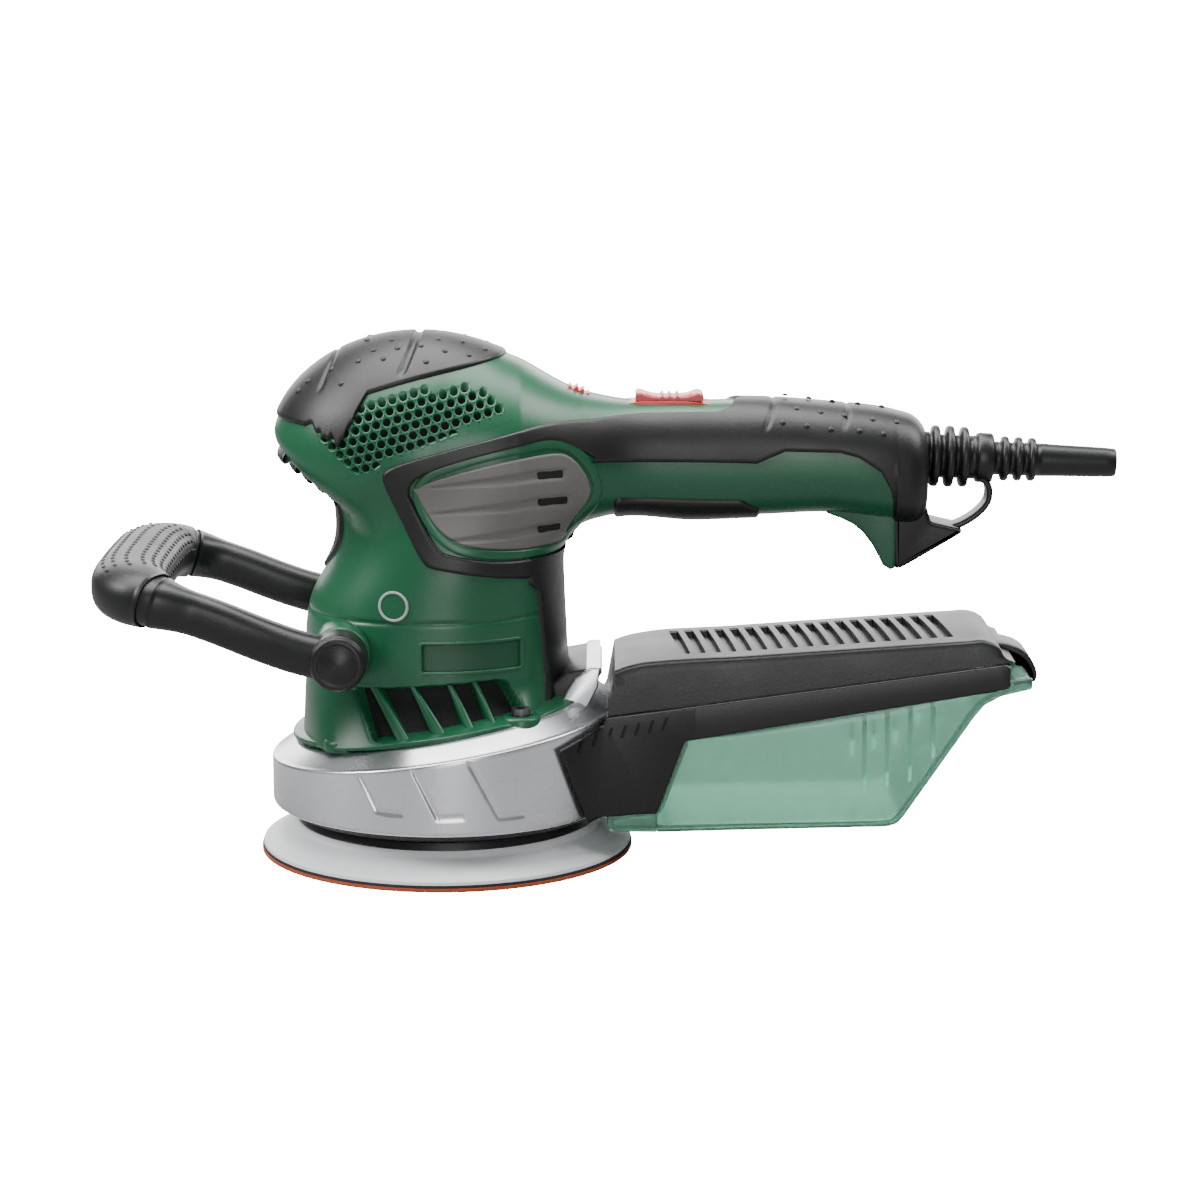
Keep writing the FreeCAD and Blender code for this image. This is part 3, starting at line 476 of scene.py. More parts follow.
# Principled surface with the shared grain and tint groups.
def makeSurface(name, colour, roughness=0.45, grain=1500.0, depth=0.2, metallic=0.0, wearAndSheen=0.15,
                variation=0.15, rubbedAndSheen=None, coat=0.0, specular=0.5, scale=30.0):
    material = bpy.data.materials.new(name)
    material.use_nodes = True
    nodes, link = material.node_tree.nodes, material.node_tree.links.new
    shader = nodes["Principled BSDF"]
    # Lighter edge colour, for rubbed wear and painted edge highlight; by default a brightened copy of the
    # base colour.
    light = rubbedAndSheen or tuple(min(1.0, c * 1.8 + 0.04) for c in colour)
    tint = groupNode(material, tintGroup, Colour=(*colour, 1), Rubbed=(*light, 1), Variation=variation,
                     Wear=wearAndSheen, Scale=scale)
    texture = groupNode(material, grainGroup, Scale=grain, Depth=depth, Roughness=roughness)
    link(tint.outputs["Colour"], shader.inputs["Base Color"])
    link(texture.outputs["Normal"], shader.inputs["Normal"])
    link(texture.outputs["Roughness"], shader.inputs["Roughness"])
    shader.inputs["Metallic"].default_value = metallic
    shader.inputs["Coat Weight"].default_value = coat
    shader.inputs["Coat Roughness"].default_value = 0.25
    shader.inputs["Specular IOR Level"].default_value = specular
    return material


# Tinted clear plastic with faint moulding haze.
def makeClear(name, colour):
    material = bpy.data.materials.new(name)
    material.use_nodes = True
    nodes, link = material.node_tree.nodes, material.node_tree.links.new
    shader = nodes["Principled BSDF"]
    texture = groupNode(material, grainGroup, Scale=300.0, Depth=0.03, Roughness=0.16)
    # Lighter convex edges on the clear plastic: partly rubbed wear, partly painted edge highlight.
    tint = groupNode(material, tintGroup, Colour=(*colour, 1), Rubbed=(0.75, 0.9, 0.82, 1), Variation=0.06,
                     Wear=0.25, Scale=18.0)
    link(tint.outputs["Colour"], shader.inputs["Base Color"])
    link(texture.outputs["Roughness"], shader.inputs["Roughness"])
    link(texture.outputs["Normal"], shader.inputs["Normal"])
    shader.inputs["Transmission Weight"].default_value = 0.82
    shader.inputs["IOR"].default_value = 1.3
    return material


# The rubbed colours and wear amounts below set lighter edges: partly wear, partly painted edge highlight.
paint = {
    "green": makeSurface("greenShell", (0.009, 0.100, 0.043), 0.34, 2600, 0.16, wearAndSheen=0.10, variation=0.12,
                         rubbedAndSheen=(0.05, 0.28, 0.16), coat=0.12),
    "greenDark": makeSurface("plateGreen", (0.008, 0.07, 0.032), 0.42, 2600, 0.2, wearAndSheen=0.1),
    "soft": makeSurface("softGrip", (0.0065, 0.0068, 0.0075), 0.42, 2300, 0.26, wearAndSheen=0.10, variation=0.2,
                        rubbedAndSheen=(0.06, 0.06, 0.065)),
    "black": makeSurface("blackPlastic", (0.0045, 0.0048, 0.0053), 0.38, 1700, 0.28, wearAndSheen=0.14,
                         rubbedAndSheen=(0.06, 0.06, 0.065)),
    # Near-black: the carbon brushes' own colour, and painted shade on the sheets behind the vents and fan
    # windows, in the panel slots and in the collar notches.
    "darkAndPaintedShade": makeSurface("insideDarkAndPaintedShade", (0.004, 0.0045, 0.005), 0.8, 900, 0.2, wearAndSheen=0.0),
    "charcoal": makeSurface("lidCharcoal", (0.008, 0.0085, 0.0095), 0.40, 1500, 0.4, wearAndSheen=0.2,
                            rubbedAndSheen=(0.09, 0.095, 0.10)),
    "panel": makeSurface("greyPanel", (0.155, 0.148, 0.142), 0.48, 2600, 0.25, wearAndSheen=0.15),
    "badge": makeSurface("badgeGrey", (0.36, 0.42, 0.39), 0.35, 2600, 0.1, wearAndSheen=0.2),
    "red": makeSurface("redPlastic", (0.52, 0.008, 0.012), 0.32, 2200, 0.1, wearAndSheen=0.1, coat=0.3),
    "silver": makeSurface("silverShroud", (0.80, 0.81, 0.84), 0.27, 2800, 0.10, metallic=0.95, wearAndSheen=0.25,
                          variation=0.08, rubbedAndSheen=(0.85, 0.86, 0.88)),
    "steel": makeSurface("groundSteel", (0.55, 0.55, 0.56), 0.28, 1800, 0.1, metallic=1.0, wearAndSheen=0.2),
    "screw": makeSurface("blackScrew", (0.07, 0.07, 0.075), 0.35, 1500, 0.15, metallic=0.9, wearAndSheen=0.4,
                         rubbedAndSheen=(0.35, 0.35, 0.36)),
    "copper": makeSurface("windingCopper", (0.50, 0.17, 0.06), 0.3, 1400, 0.5, metallic=0.9, wearAndSheen=0.1),
    "sheet": makeSurface("stackedSheet", (0.24, 0.24, 0.26), 0.4, 2000, 0.5, metallic=0.9, wearAndSheen=0.2),
    "alloy": makeSurface("castAlloy", (0.45, 0.46, 0.48), 0.42, 900, 0.4, metallic=0.9, wearAndSheen=0.2),
    "fan": makeSurface("fanPlastic", (0.03, 0.03, 0.033), 0.5, 1500, 0.3, wearAndSheen=0.1),
    "board": makeSurface("boardLaminate", (0.02, 0.14, 0.05), 0.35, 1200, 0.2, wearAndSheen=0.1),
    "lead": makeSurface("leadSleeve", (0.05, 0.06, 0.3), 0.4, 1500, 0.1, wearAndSheen=0.0),
    "rubber": makeSurface("sealRubber", (0.010, 0.010, 0.011), 0.6, 1500, 0.3, wearAndSheen=0.1),
    "foam": makeSurface("foamSkin", (0.84, 0.86, 0.88), 0.55, 900, 0.25, wearAndSheen=0.1, variation=0.10,
                        rubbedAndSheen=(0.8, 0.8, 0.8)),
    "hook": makeSurface("hookLayer", (0.03, 0.03, 0.032), 0.85, 1300, 0.9, wearAndSheen=0.0),
    "grit": makeSurface("abrasiveGrit", (0.50, 0.10, 0.035), 0.75, 2200, 1.0, wearAndSheen=0.0, variation=0.4,
                        scale=900.0),
    "paper": makeSurface("filterPaper", (0.72, 0.70, 0.62), 0.85, 900, 0.5, wearAndSheen=0.0),
    "clear": makeClear("clearGreen", (0.50, 0.84, 0.69)),
}
print("materials made")

nodePaint = {
    "housing_screws": "screw", "brake_ring": "rubber", "shroud_screws": "screw", "cord_clamp": "black",
    "clamp_screws": "steel", "switch_module": "black", "control_board": "board",
    "dial_potentiometer": "black", "field_stator": "sheet", "field_coils": "copper",
    "brush_holders": "copper", "carbon_brushes": "darkAndPaintedShade", "brush_springs": "steel",
    "upper_bearing": "steel", "lower_bearing": "steel", "bearing_bracket": "alloy", "inner_leads": "lead",
    "motor_shaft": "steel", "armature_core": "sheet", "armature_windings": "copper",
    "commutator": "copper", "cooling_fan": "fan", "eccentric_hub": "alloy", "counterweight": "steel",
    "dust_fan": "fan", "pad_bearing": "steel", "pad_spindle": "steel", "backing_plate": "black",
    "foam_pad": "foam", "hook_layer": "hook", "sanding_disc": "grit", "pad_screw": "steel",
    "pivot_bolts": "steel", "filter_frame": "black", "filter_pleats": "paper", "lid_pin": "black",
}
for node, finish in nodePaint.items():
    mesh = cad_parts[node].data
    mesh.materials.clear()
    mesh.materials.append(paint[finish])


# Green shells.
ventArea = {"start": (-38.5, 141.0), "along": (1.0, 0.285), "step": 3.55, "hole": 1.3, "sink": 2.4}
ventOutline = crisp([(-28.5, 153.3), (-4.0, 160.2), (-1.6, 157.7), (8.6, 160.9), (14.5, 159.3), (23.5, 151.0),
                     (17.9, 148.9), (-15.8, 135.9), (-22.9, 130.6), (-27.4, 130.9), (-40.6, 141.9),
                     (-39.1, 147.5)], 1.5)
windowLine = crisp([(-29.3, 61.9), (18.5, 64.8), (22.0, 63.7), (28.9, 53.0), (23.7, 52.1), (12.3, 46.8),
                    (-20.8, 45.4), (-22.8, 46.8)], 1.6)
windowDepth = 6.0
panelOutline = soften([(-8.1, 128.4), (18.1, 135.6), (36.9, 138.2), (42.6, 136.6), (48.0, 129.4),
                       (49.2, 122.3), (41.8, 113.9), (39.9, 108.9), (39.3, 106.4), (17.9, 106.8),
                       (1.5, 110.0), (-8.6, 126.4)], 3)
plateOutline = crisp([(-6.4, 67.4), (26.5, 67.4), (26.5, 77.3), (-6.4, 77.3)], 1.0)


# True where (x, z) lies inside a closed outline, by counting crossings.
def insideOutline(x, z, outline):
    inside = np.zeros(np.shape(x), bool)
    ends = np.roll(outline, -1, 0)
    for (ax, az), (bx, bz) in zip(outline, ends):
        crosses = (az > z) != (bz > z)
        inside ^= crosses & (x < (bx - ax) * (z - az) / (bz - az + 1e-12) + ax)
    return inside


# Signed distance to an outline, positive inside.
def outlineDistance(x, z, outline):
    p = np.stack([x, z], -1)
    best = np.full(np.shape(x), 1e9)
    for a, b in zip(outline, np.roll(outline, -1, 0)):
        leg = b - a
        t = np.clip(((p - a) @ leg) / (leg @ leg + 1e-12), 0, 1)
        best = np.minimum(best, np.linalg.norm(p - a - t[..., None] * leg, axis=-1))
    return np.where(insideOutline(x, z, outline), best, -best)


# Depth below the skin: vent field, fan window, ledge line, plate recess and parting line.
def shellSink(p):
    x, y, z = p[..., 0], np.abs(p[..., 1]), p[..., 2]
    sink = np.zeros(x.shape)
    sided = y > 12
    sink += np.where(sided, ventArea["sink"] * smoothStep(0.8, 2.0, outlineDistance(x, z, ventOutline)), 0)
    sink += np.where(sided, windowDepth * smoothStep(0.1, 0.9, outlineDistance(x, z, windowLine)), 0)
    sink += np.where((z < 90) & (np.abs(x) < 60), 0.55 * np.exp(-((z - 83.6 - 0.01 * x) / 0.55) ** 2), 0)
    sink += np.where(sided, 0.8 * smoothStep(-0.1, 0.5, outlineDistance(x, z, plateOutline)), 0)
    sink += 0.35 * np.exp(-(p[..., 1] / 0.35) ** 2)
    return sink


def roofLine(x):
    return form["roofHigh"] + form["roofRise"] * x


# Column and head as one surface: level rays up the column, then rays that tip up to the crown.
def towerShell():
    around, low, high = 480, 170, 70
    turn = np.linspace(0, 2 * np.pi, around, endpoint=False) + 0.0001
    rise = np.linspace(0, 1, low)
    base = roofLine(-3 + 45 * np.cos(turn)) + 4.0
    z = base[None] + (135 - base)[None] * rise[:, None]
    shift = -3 - 5 * smoothStep(0.45, 1.0, rise)[:, None] + 0 * z
    start = np.stack([shift, 0 * z, z], -1)
    level = np.stack([np.cos(turn), np.sin(turn), 0 * turn], -1)
    tip = np.linspace(0, np.pi / 2, high + 1)[1:, None]
    upDirection = np.stack([np.cos(tip) * np.cos(turn), np.cos(tip) * np.sin(turn), np.sin(tip) + 0 * turn],
                           -1)
    start = np.concatenate([start, np.broadcast_to([-8.0, 0, 135.0], upDirection.shape)])
    direction = np.concatenate([np.broadcast_to(level, (low, around, 3)), upDirection])
    flatLimit = 54.0
    reach = np.where(direction[..., 0] > 0.02,
                     (flatLimit - start[..., 0]) / np.maximum(direction[..., 0], 0.02), 90)
    p = castOut(start, direction, np.minimum(reach, 90))
    n = outward(p)
    tuck = 0.25 * smoothStep(44, 48, p[..., 0])
    p = p - n * (shellSink(p) + tuck)[..., None]
    p[-1] = p[-1].mean(0)
    return p, gridQuads(len(p), around, False, True, False)


# Handle as rings about its own middle line, closed by a shrinking cap at the rear.
def handleShell():
    stations = np.concatenate([np.linspace(45, 156, 150), 156 + 2.5 * np.sin(np.linspace(0.1, np.pi / 2, 8))])
    turn = np.linspace(0, 2 * np.pi, 132, endpoint=False)
    x = np.minimum(stations, form["handleEnd"] - 0.05)[:, None] + 0 * turn
    z = smoothLine(x, form["handleX"], form["handleZ"])
    start = np.stack([x, 0 * x, z], -1)
    direction = np.stack([0 * x, np.cos(turn) + 0 * x, np.sin(turn) + 0 * x], -1)
    p = castOut(start, direction, 60)
    p = p - outward(p) * shellSink(p)[..., None]
    cap = np.linspace(0.85, 0, 7)[:, None, None] * (p[-1] - start[-1]) + start[-1]
    p = np.concatenate([p, cap])
    return p, gridQuads(len(p), 132, False, True, True)


# Thin flange round the foot, its rim rounded, following the sloping roof.
def footRing():
    turn = np.linspace(0, 2 * np.pi, 300, endpoint=False)
    q = np.linspace(0, np.pi / 2, 5)
    radius = np.concatenate([[43, 49.8, 50.2], 49.7 + 0.8 * np.cos(q), [48.6, 46.0, 43.0]])
    rise = np.concatenate([[0.0, 0.0, 0.2], 1.2 + 0.8 * np.sin(q), [2.3, 2.9, 3.4]])
    lobe = np.zeros_like(turn)
    for x, y in ((-32.0, 34.0), (26.0, 38.0), (-32.0, -34.0), (26.0, -38.0)):
        apart = (turn - math.atan2(y, x + 1) + np.pi) % (2 * np.pi) - np.pi
        lobe = np.maximum(lobe, np.exp(-(apart / 0.13) ** 4))
    x = -1 + radius[:, None] * np.cos(turn)
    y = radius[:, None] * np.sin(turn)
    z = roofLine(-1 + 50 * np.cos(turn))[None] + 4.0 + rise[:, None] - lobe[None] * 0.9
    return np.stack([x, y, z], -1), gridQuads(len(radius), 300, False, True, True)


shells = makePiece("greenHousing", [towerShell(), handleShell(), footRing()], "housing",
                   paint["green"], ("housing_left", "housing_right"))
print("green shells made")


# Six-sided cells with a round hole each, set in rows on the sunk vent field.
def hexVents(side):
    step = ventArea["step"]
    rows, cols = np.meshgrid(np.arange(-4, 16), np.arange(-6, 26), indexing="ij")
    a = np.array(ventArea["along"]) / np.linalg.norm(ventArea["along"])
    b = np.array([-a[1], a[0]])
    origin = np.array(ventArea["start"]) - b * step * 4
    centre = origin + a * ((cols + 0.5 * (rows % 2)) * step)[..., None] + b * (rows * step * 0.866)[..., None]
    centre = centre.reshape(-1, 2)
    depthIn = outlineDistance(centre[:, 0], centre[:, 1], ventOutline)
    turn = np.linspace(0, 2 * np.pi, 18, endpoint=False)
    sector = (turn + np.pi / 6) % (np.pi / 3) - np.pi / 6
    hexRadius = step / 2 / np.cos(sector) * 1.002
    unit = a * np.cos(turn)[:, None] + b * np.sin(turn)[:, None]
    hole = ventArea["hole"]
    open18, flat18 = hole + 0 * turn, 0.02 + 0 * turn
    parts = []
    for chosen, radii, heights in (
            (depthIn > 1.0, [hexRadius, open18 + 0.2, open18, open18 - 0.05], [0.05, 0.05, -0.12, -2.2]),
            ((depthIn > -1.6) & (depthIn <= 1.0), [hexRadius, hexRadius * 0.6, hexRadius * 0.3, flat18],
             [0.05] * 4)):
        spots = centre[chosen]
        layers = []
        for radius, height in zip(radii, heights):
            flat = spots[:, None] + unit[None] * radius[None, :, None]
            skin = sideSkin(flat[..., 0], flat[..., 1], side)
            layers.append(skin + outward(skin) * height)
        one = gridQuads(4, 18, False, True, side > 0)
        faces = (one[None] + (np.arange(len(spots)) * 72)[:, None, None]).reshape(-1, 4)
        parts.append((np.stack(layers, 1), faces))
    return parts


for side, label in ((-1, "Near"), (1, "Far")):
    makePiece("vents" + label, hexVents(side), "housing", paint["green"])
    # A near-black sheet under the vent holes: painted shade for the inside of the housing.
    makePiece("ventShadeSheet" + label, [fanPatch(evenly(ventOutline, 90), side, -2.0, sunk=2.1, rings=12)],
              "housing", paint["darkAndPaintedShade"])


vanes = [(-23.7, -20.2, 61.9, -13.9, -7.7, 45.2), (-10.2, -7.6, 62.6, -1.6, 5.4, 45.8),
         (2.0, 4.6, 63.2, 10.1, 14.1, 46.6), (10.3, 12.6, 63.9, 18.0, 20.0, 49.0)]


# Slanted vanes in the fan window, wider at the foot, with rounded outer edges.
def windowVanes(side):
    parts = []
    for topLeft, topRight, top, lowLeft, lowRight, low in vanes:
        t = np.linspace(-0.02, 1.02, 22)[:, None]
        j = np.linspace(0, 1, 9)
        left, right = topLeft + (lowLeft - topLeft) * t, topRight + (lowRight - topRight) * t
        x = left + (right - left) * j
        z = top + (low - top) * t + 0 * j
        skin = sideSkin(x, z, side)
        height = np.where(np.abs(2 * j - 1) > 0.99, -5.8, -0.5 - 0.7 * (2 * j - 1) ** 2)
        parts.append((skin + outward(skin) * height[None, :, None], gridQuads(22, 9, False, False, side > 0)))
    return parts


for side, label in ((-1, "Near"), (1, "Far")):
    makePiece("fanVanes" + label, windowVanes(side), "housing", paint["green"])
    # A near-black sheet behind the fan window: painted shade for the inside of the housing.
    makePiece("fanWindowShadeSheet" + label, [fanPatch(evenly(windowLine, 140), side, -5.3, sunk=5.4, rings=14)],
              "housing", paint["darkAndPaintedShade"])


# Soft grips.
gripLine = {
    "outer": [(52.0, 147.6), (34.5, 147.6), (18.1, 143.6), (-6.4, 137.4), (-17.0, 133.8), (-18.9, 130.5),
              (-12.2, 116.0), (-5.6, 102.9), (-1.8, 101.0), (26.1, 96.6), (33.0, 95.6)],
    "inner": [(52.0, 133.6), (45.0, 138.2), (37.6, 141.6), (30.3, 141.2), (10.0, 136.9), (-11.4, 129.9),
              (-5.8, 118.0), (-0.4, 107.4), (5.0, 105.6), (17.9, 103.4), (33.0, 103.2)],
}


def gripBand(side):
    outer = evenly(soften(gripLine["outer"], 2, False), 170, False)
    inner = evenly(soften(gripLine["inner"], 2, False), 170, False)
    return stripPatch(outer, inner, side, form["gripProud"])


# Soft grip that wraps the back of the column below the handle.
def columnBack():
    z = np.linspace(52, 103, 70)
    edgeX = np.interp(z, [52, 84.3, 92, 95, 103], [34.0, 31.4, 30.6, 28.0, 28.0])
    around = np.linspace(-1, 1, 61)
    edge = sideSkin(edgeX, z, 1.0)
    limit = np.arctan2(edge[:, 1], edge[:, 0] + 3)
    turn = limit[:, None] * around
    start = np.stack([-3 + 0 * turn, 0 * turn, z[:, None] + 0 * turn], -1)
    p = castOut(start, np.stack([np.cos(turn), np.sin(turn), 0 * turn], -1), 60)
    inset = np.minimum((1 - np.abs(around)) * limit[:, None] * 40, (z - 52)[:, None] + 0 * turn)
    p = p + outward(p) * edgeRoll(inset, 1.4, form["gripProud"])[..., None]
    return p, gridQuads(70, 61, False, False, False)


handleBlack = {
    "low": ([49.5, 60, 90, 103, 107, 112, 130, 136, 143.4, 147.3, 148.6, 149.5, 159.5],
            [133.4, 133.2, 132.8, 132.4, 134.2, 136.4, 136.0, 134.4, 129.6, 122.5, 112.0, 104.0, 104.0]),
    "high": ([49.5, 60, 90, 95, 99], [147.5, 148.2, 148.6, 150.0, 152.5]),
}


# Angle about the handle's middle line at which the skin reaches height aim.
def skinAngle(x, z, aim):
    low, high = np.full(x.shape, -np.pi / 2), np.full(x.shape, np.pi / 2)
    for step in range(22):
        middle = (low + high) / 2
        start = np.stack([x, 0 * x, z], -1)
        p = castOut(start, np.stack([0 * x, np.cos(middle), np.sin(middle)], -1), 60)
        below = p[..., 2] < aim
        low, high = np.where(below, middle, low), np.where(below, high, middle)
    return (low + high) / 2


# Over-mould of the rear handle: side bands in front, and right over the top further back.
def handleGripShape():
    x = np.concatenate([np.linspace(49.5, 96, 60), np.linspace(96.6, 157.5, 88),
                        157.5 + 1.0 * np.sin(np.linspace(0.2, np.pi / 2, 6))])
    z = smoothLine(x, form["handleX"], form["handleZ"])
    lowAngle = skinAngle(x, z, np.interp(x, *handleBlack["low"]))
    highAngle = np.where(x < 99, skinAngle(x, z, np.interp(x, *handleBlack["high"])), np.pi / 2)
    highAngle = np.where(x > 94, highAngle + (np.pi / 2 - highAngle) * smoothStep(94, 98.5, x), highAngle)
    lowAngle = np.where(x > 148.8, -np.pi / 2 + (lowAngle + np.pi / 2) * (1 - smoothStep(148.8, 150.5, x)),
                        lowAngle)
    count = 44
    t = np.linspace(0, 1, count)
    turn = lowAngle[:, None] + (highAngle - lowAngle)[:, None] * t
    radius = 19.0
    fromLow = (turn - lowAngle[:, None]) * radius
    fromHigh = (highAngle[:, None] - turn) * radius
    openTop = (x < 98.4)[:, None]
    openLow = (x < 150.4)[:, None]
    inset = np.minimum(np.where(openLow, fromLow, 99), np.where(openTop, fromHigh, 99))
    parts = []
    for side in (-1, 1):
        start = np.stack([x[:, None] + 0 * turn, 0 * turn, z[:, None] + 0 * turn], -1)
        direction = np.stack([0 * turn, side * np.cos(turn), np.sin(turn)], -1)
        p = castOut(start, direction, 60)
        height = edgeRoll(inset, 1.4, form["gripProud"])
        for foot in (109.5, 134.8):
            line = p[..., 0] - foot + 0.41 * (152 - p[..., 2])
            seen = smoothStep(142, 145, p[..., 2])
            height = height - 0.75 * np.exp(-(line / 0.55) ** 2) * seen
        p = p + outward(p) * height[..., None]
        tail = start[-1] + (p[-1] - start[-1])[None] * np.linspace(0.97, 0.44, 8)[:, None, None]
        tail[..., 0] = p[-1, :, 0][None] + 0.9
        p = np.concatenate([p, tail])
        parts.append((p, gridQuads(len(p), count, False, False, side > 0)))
    return parts


for side, label, node in ((-1, "Near", "side_grip_left"), (1, "Far", "side_grip_right")):
    makePiece("gripBand" + label, [gripBand(side)], "housing", paint["soft"], (node,))
makePiece("handleOvermould", handleGripShape(), "housing", paint["soft"])
makePiece("columnBackGrip", [columnBack()], "housing", paint["soft"])

spurOutline = crisp([(147.5, 112.0), (148.6, 97.6), (149.8, 95.8), (152.0, 96.4), (171.2, 107.8),
                     (171.4, 109.2), (161.0, 111.6), (159.4, 117.5), (149.0, 121.0)], 1.2)
makePiece("spur", [plateOf(spurOutline, -9.8, 9.8, 1.6)], "housing", paint["soft"], angle=35)
dropOutline = np.array([(122.0, 119.0), (127.0, 114.4), (131.2, 112.9), (135.2, 111.0), (138.7, 108.1),
                        (141.7, 104.0), (143.7, 100.4), (145.2, 97.3), (147.8, 95.6), (149.4, 96.4),
                        (149.4, 120.0)])
makePiece("handleDrop", [plateOf(dropOutline, -10.2, 10.2, 1.2)], "housing", paint["green"],
          angle=35)


# Height angle of the palm grip's lower edge for each bearing about the head's centre.
def capEdge():
    near = [(-29.3, 123.6), (-29.6, 127.6), (-33.4, 132.0), (-39.2, 137.4), (-42.4, 141.4), (-42.6, 145.3),
            (-39.9, 149.6), (-31.4, 153.8), (-10.3, 160.5), (10.8, 164.7), (21.3, 166.6), (24.1, 168.4)]
    line = evenly(soften(near, 2, False), 90, False)
    p = sideSkin(line[:, 0], line[:, 1], 1.0)
    c = np.array(form["headCentre"])
    q = p - c
    bearing = np.arctan2(q[:, 1], q[:, 0])
    tilt = np.arctan2(q[:, 2], np.hypot(q[:, 0], q[:, 1]))
    order = np.argsort(bearing)
    return bearing[order], tilt[order]


# Soft dome: rays from the head's centre between its lower edge and the crown, with two grooves.
def palmGrip():
    bearing, tilt = capEdge()
    around, rings = 360, 110
    turn = np.linspace(-np.pi, np.pi, around, endpoint=False)
    low = np.interp(np.abs(turn), bearing, tilt)
    soft = np.convolve(np.concatenate([low[-4:], low, low[:4]]), np.ones(9) / 9, "valid")
    low = soft
    t = np.linspace(0, 1, rings)
    rise = low[None] + (np.pi / 2 - low)[None] * t[:, None]
    direction = np.stack([np.cos(rise) * np.cos(turn), np.cos(rise) * np.sin(turn), np.sin(rise)], -1)
    p = castOut(np.broadcast_to(form["headCentre"], direction.shape), direction, 90)
    inset = (rise - low[None]) * 42
    height = edgeRoll(inset, 1.6, form["gripProud"])
    wide = (p[..., 0] + 7.4 + 0.40 * (174.3 - p[..., 2])) / 1.2
    thin = (p[..., 0] + 33.7 + 0.39 * (168.9 - p[..., 2])) / 0.55
    height = height - 0.95 * np.exp(-wide ** 4) * smoothStep(161, 164, p[..., 2])
    height = height - 0.6 * np.exp(-thin ** 2) * smoothStep(155, 158, p[..., 2])
    p = p + outward(p) * height[..., None]
    p[-1] = p[-1].mean(0)
    return p, gridQuads(rings, around, False, True, False)


makePiece("palmDome", [palmGrip()], "housing", paint["soft"], ("palm_grip",))


# Rows of raised bumps on the dome's shoulders and on the rear handle.
def gripBumps():
    spots = [(-26.3, 165.3), (-18.2, 166.3), (-24.4, 170.6), (-21.6, 168.4), (-16.0, 171.2), (-13.9, 169.2),
             (-6.5, 169.9), (-4.5, 165.6), (-1.2, 171.4), (1.2, 168.4), (8.9, 167.0), (6.5, 170.4),
             (13.8, 168.1),
             (-42.9, 158.3), (-46.0, 155.2), (-35.0, 162.5), (-31.5, 158.8)]
    for x0, z0 in ((111.3, 145.2), (116.0, 148.7), (112.8, 151.6), (136.2, 142.6), (140.7, 145.5),
                   (136.9, 148.8)):
        spots += [(x0 + 7.8 * k, z0 - 1.0 * k) for k in range(3 if x0 < 130 else 2)]
    spots = np.array(spots)
    parts = []
    for side in (-1, 1):
        skin = sideSkin(spots[:, 0], spots[:, 1], side)
        n = outward(skin)
        parts.append(domes(skin + n * (form["gripProud"] - 0.15), n, 1.05, 0.7, 16, 5))
    return parts


makePiece("gripBumps", gripBumps(), "housing", paint["soft"])


# Five short ribs across the chin under the palm grip.
def chinTeeth():
    parts = []
    x0, z0, x1, z1 = form["chin"]
    for t in np.linspace(0.14, 0.9, 5):
        x, z = x0 + (x1 - x0) * t, z0 + (z1 - z0) * t
        half = 15.5 + 4 * t
        y = np.linspace(-half, half, 25)
        path = np.stack([x + 0.003 * y ** 2 * 4, y, z + 0.2 - 0.004 * y ** 2], -1)
        side = np.tile([0.794, 0, -0.608], (25, 1))
        up = np.tile([0.608, 0, 0.794], (25, 1))
        section = ringSection(1.5, 3.0, 2.0, 16)[None].repeat(25, 0)
        parts.append(sweep(path, side, up, section))
    return parts


makePiece("chinTeeth", chinTeeth(), "housing", paint["soft"])


# Finger pad in the throat, wrapped round the front of the column.
def throatPad():
    z = np.linspace(95.2, 119.0, 44)
    t = np.linspace(-1, 1, 41)
    limit = 0.02 + 0.50 * np.sin(np.pi / 2 * np.clip((z - 95.2) / 16, 0, 1)) ** 0.8
    turn = np.pi + limit[:, None] * t
    start = np.stack([-3 + 0 * turn, 0 * turn, z[:, None] + 0 * turn], -1)
    p = castOut(start, np.stack([np.cos(turn), np.sin(turn), 0 * turn], -1), 60)
    inset = np.minimum((1 - np.abs(t)) * limit[:, None] * 34, (z - 95.2)[:, None])
    p = p + outward(p) * edgeRoll(inset, 1.6, 1.0)[..., None]
    return p, gridQuads(44, 41, False, False, False)


makePiece("throatPad", [throatPad()], "housing", paint["soft"], ("throat_pad",))


# Finger pad under the rear handle, from the near side round to the far side.
def underPad():
    x = np.linspace(56, 104.5, 70)
    z = smoothLine(x, form["handleX"], form["handleZ"])
    top = np.interp(x, [56, 58, 98, 104.5], [120.6, 121.6, 120.6, 116.8])
    edge = -np.pi / 2 - skinAngle(x, z, top)
    t = np.linspace(-1, 1, 61)
    turn = -np.pi / 2 + edge[:, None] * t
    start = np.stack([x[:, None] + 0 * turn, 0 * turn, z[:, None] + 0 * turn], -1)
    p = castOut(start, np.stack([0 * turn, np.cos(turn), np.sin(turn)], -1), 60)
    inset = np.minimum(np.abs(edge)[:, None] * 19 * (1 - np.abs(t)), np.minimum(x - 56, 104.5 - x)[:, None])
    p = p + outward(p) * edgeRoll(inset, 1.4, form["gripProud"])[..., None]
    return p, gridQuads(70, 61, False, False, False)


makePiece("underPad", [underPad()], "housing", paint["soft"], ("handle_pad",))
print("soft grips made")


# Side panels, badge, plate.
slotLines = [(30.8, 130.8, 40.2), (30.8, 122.0, 41.7), (30.8, 112.7, 39.1)]


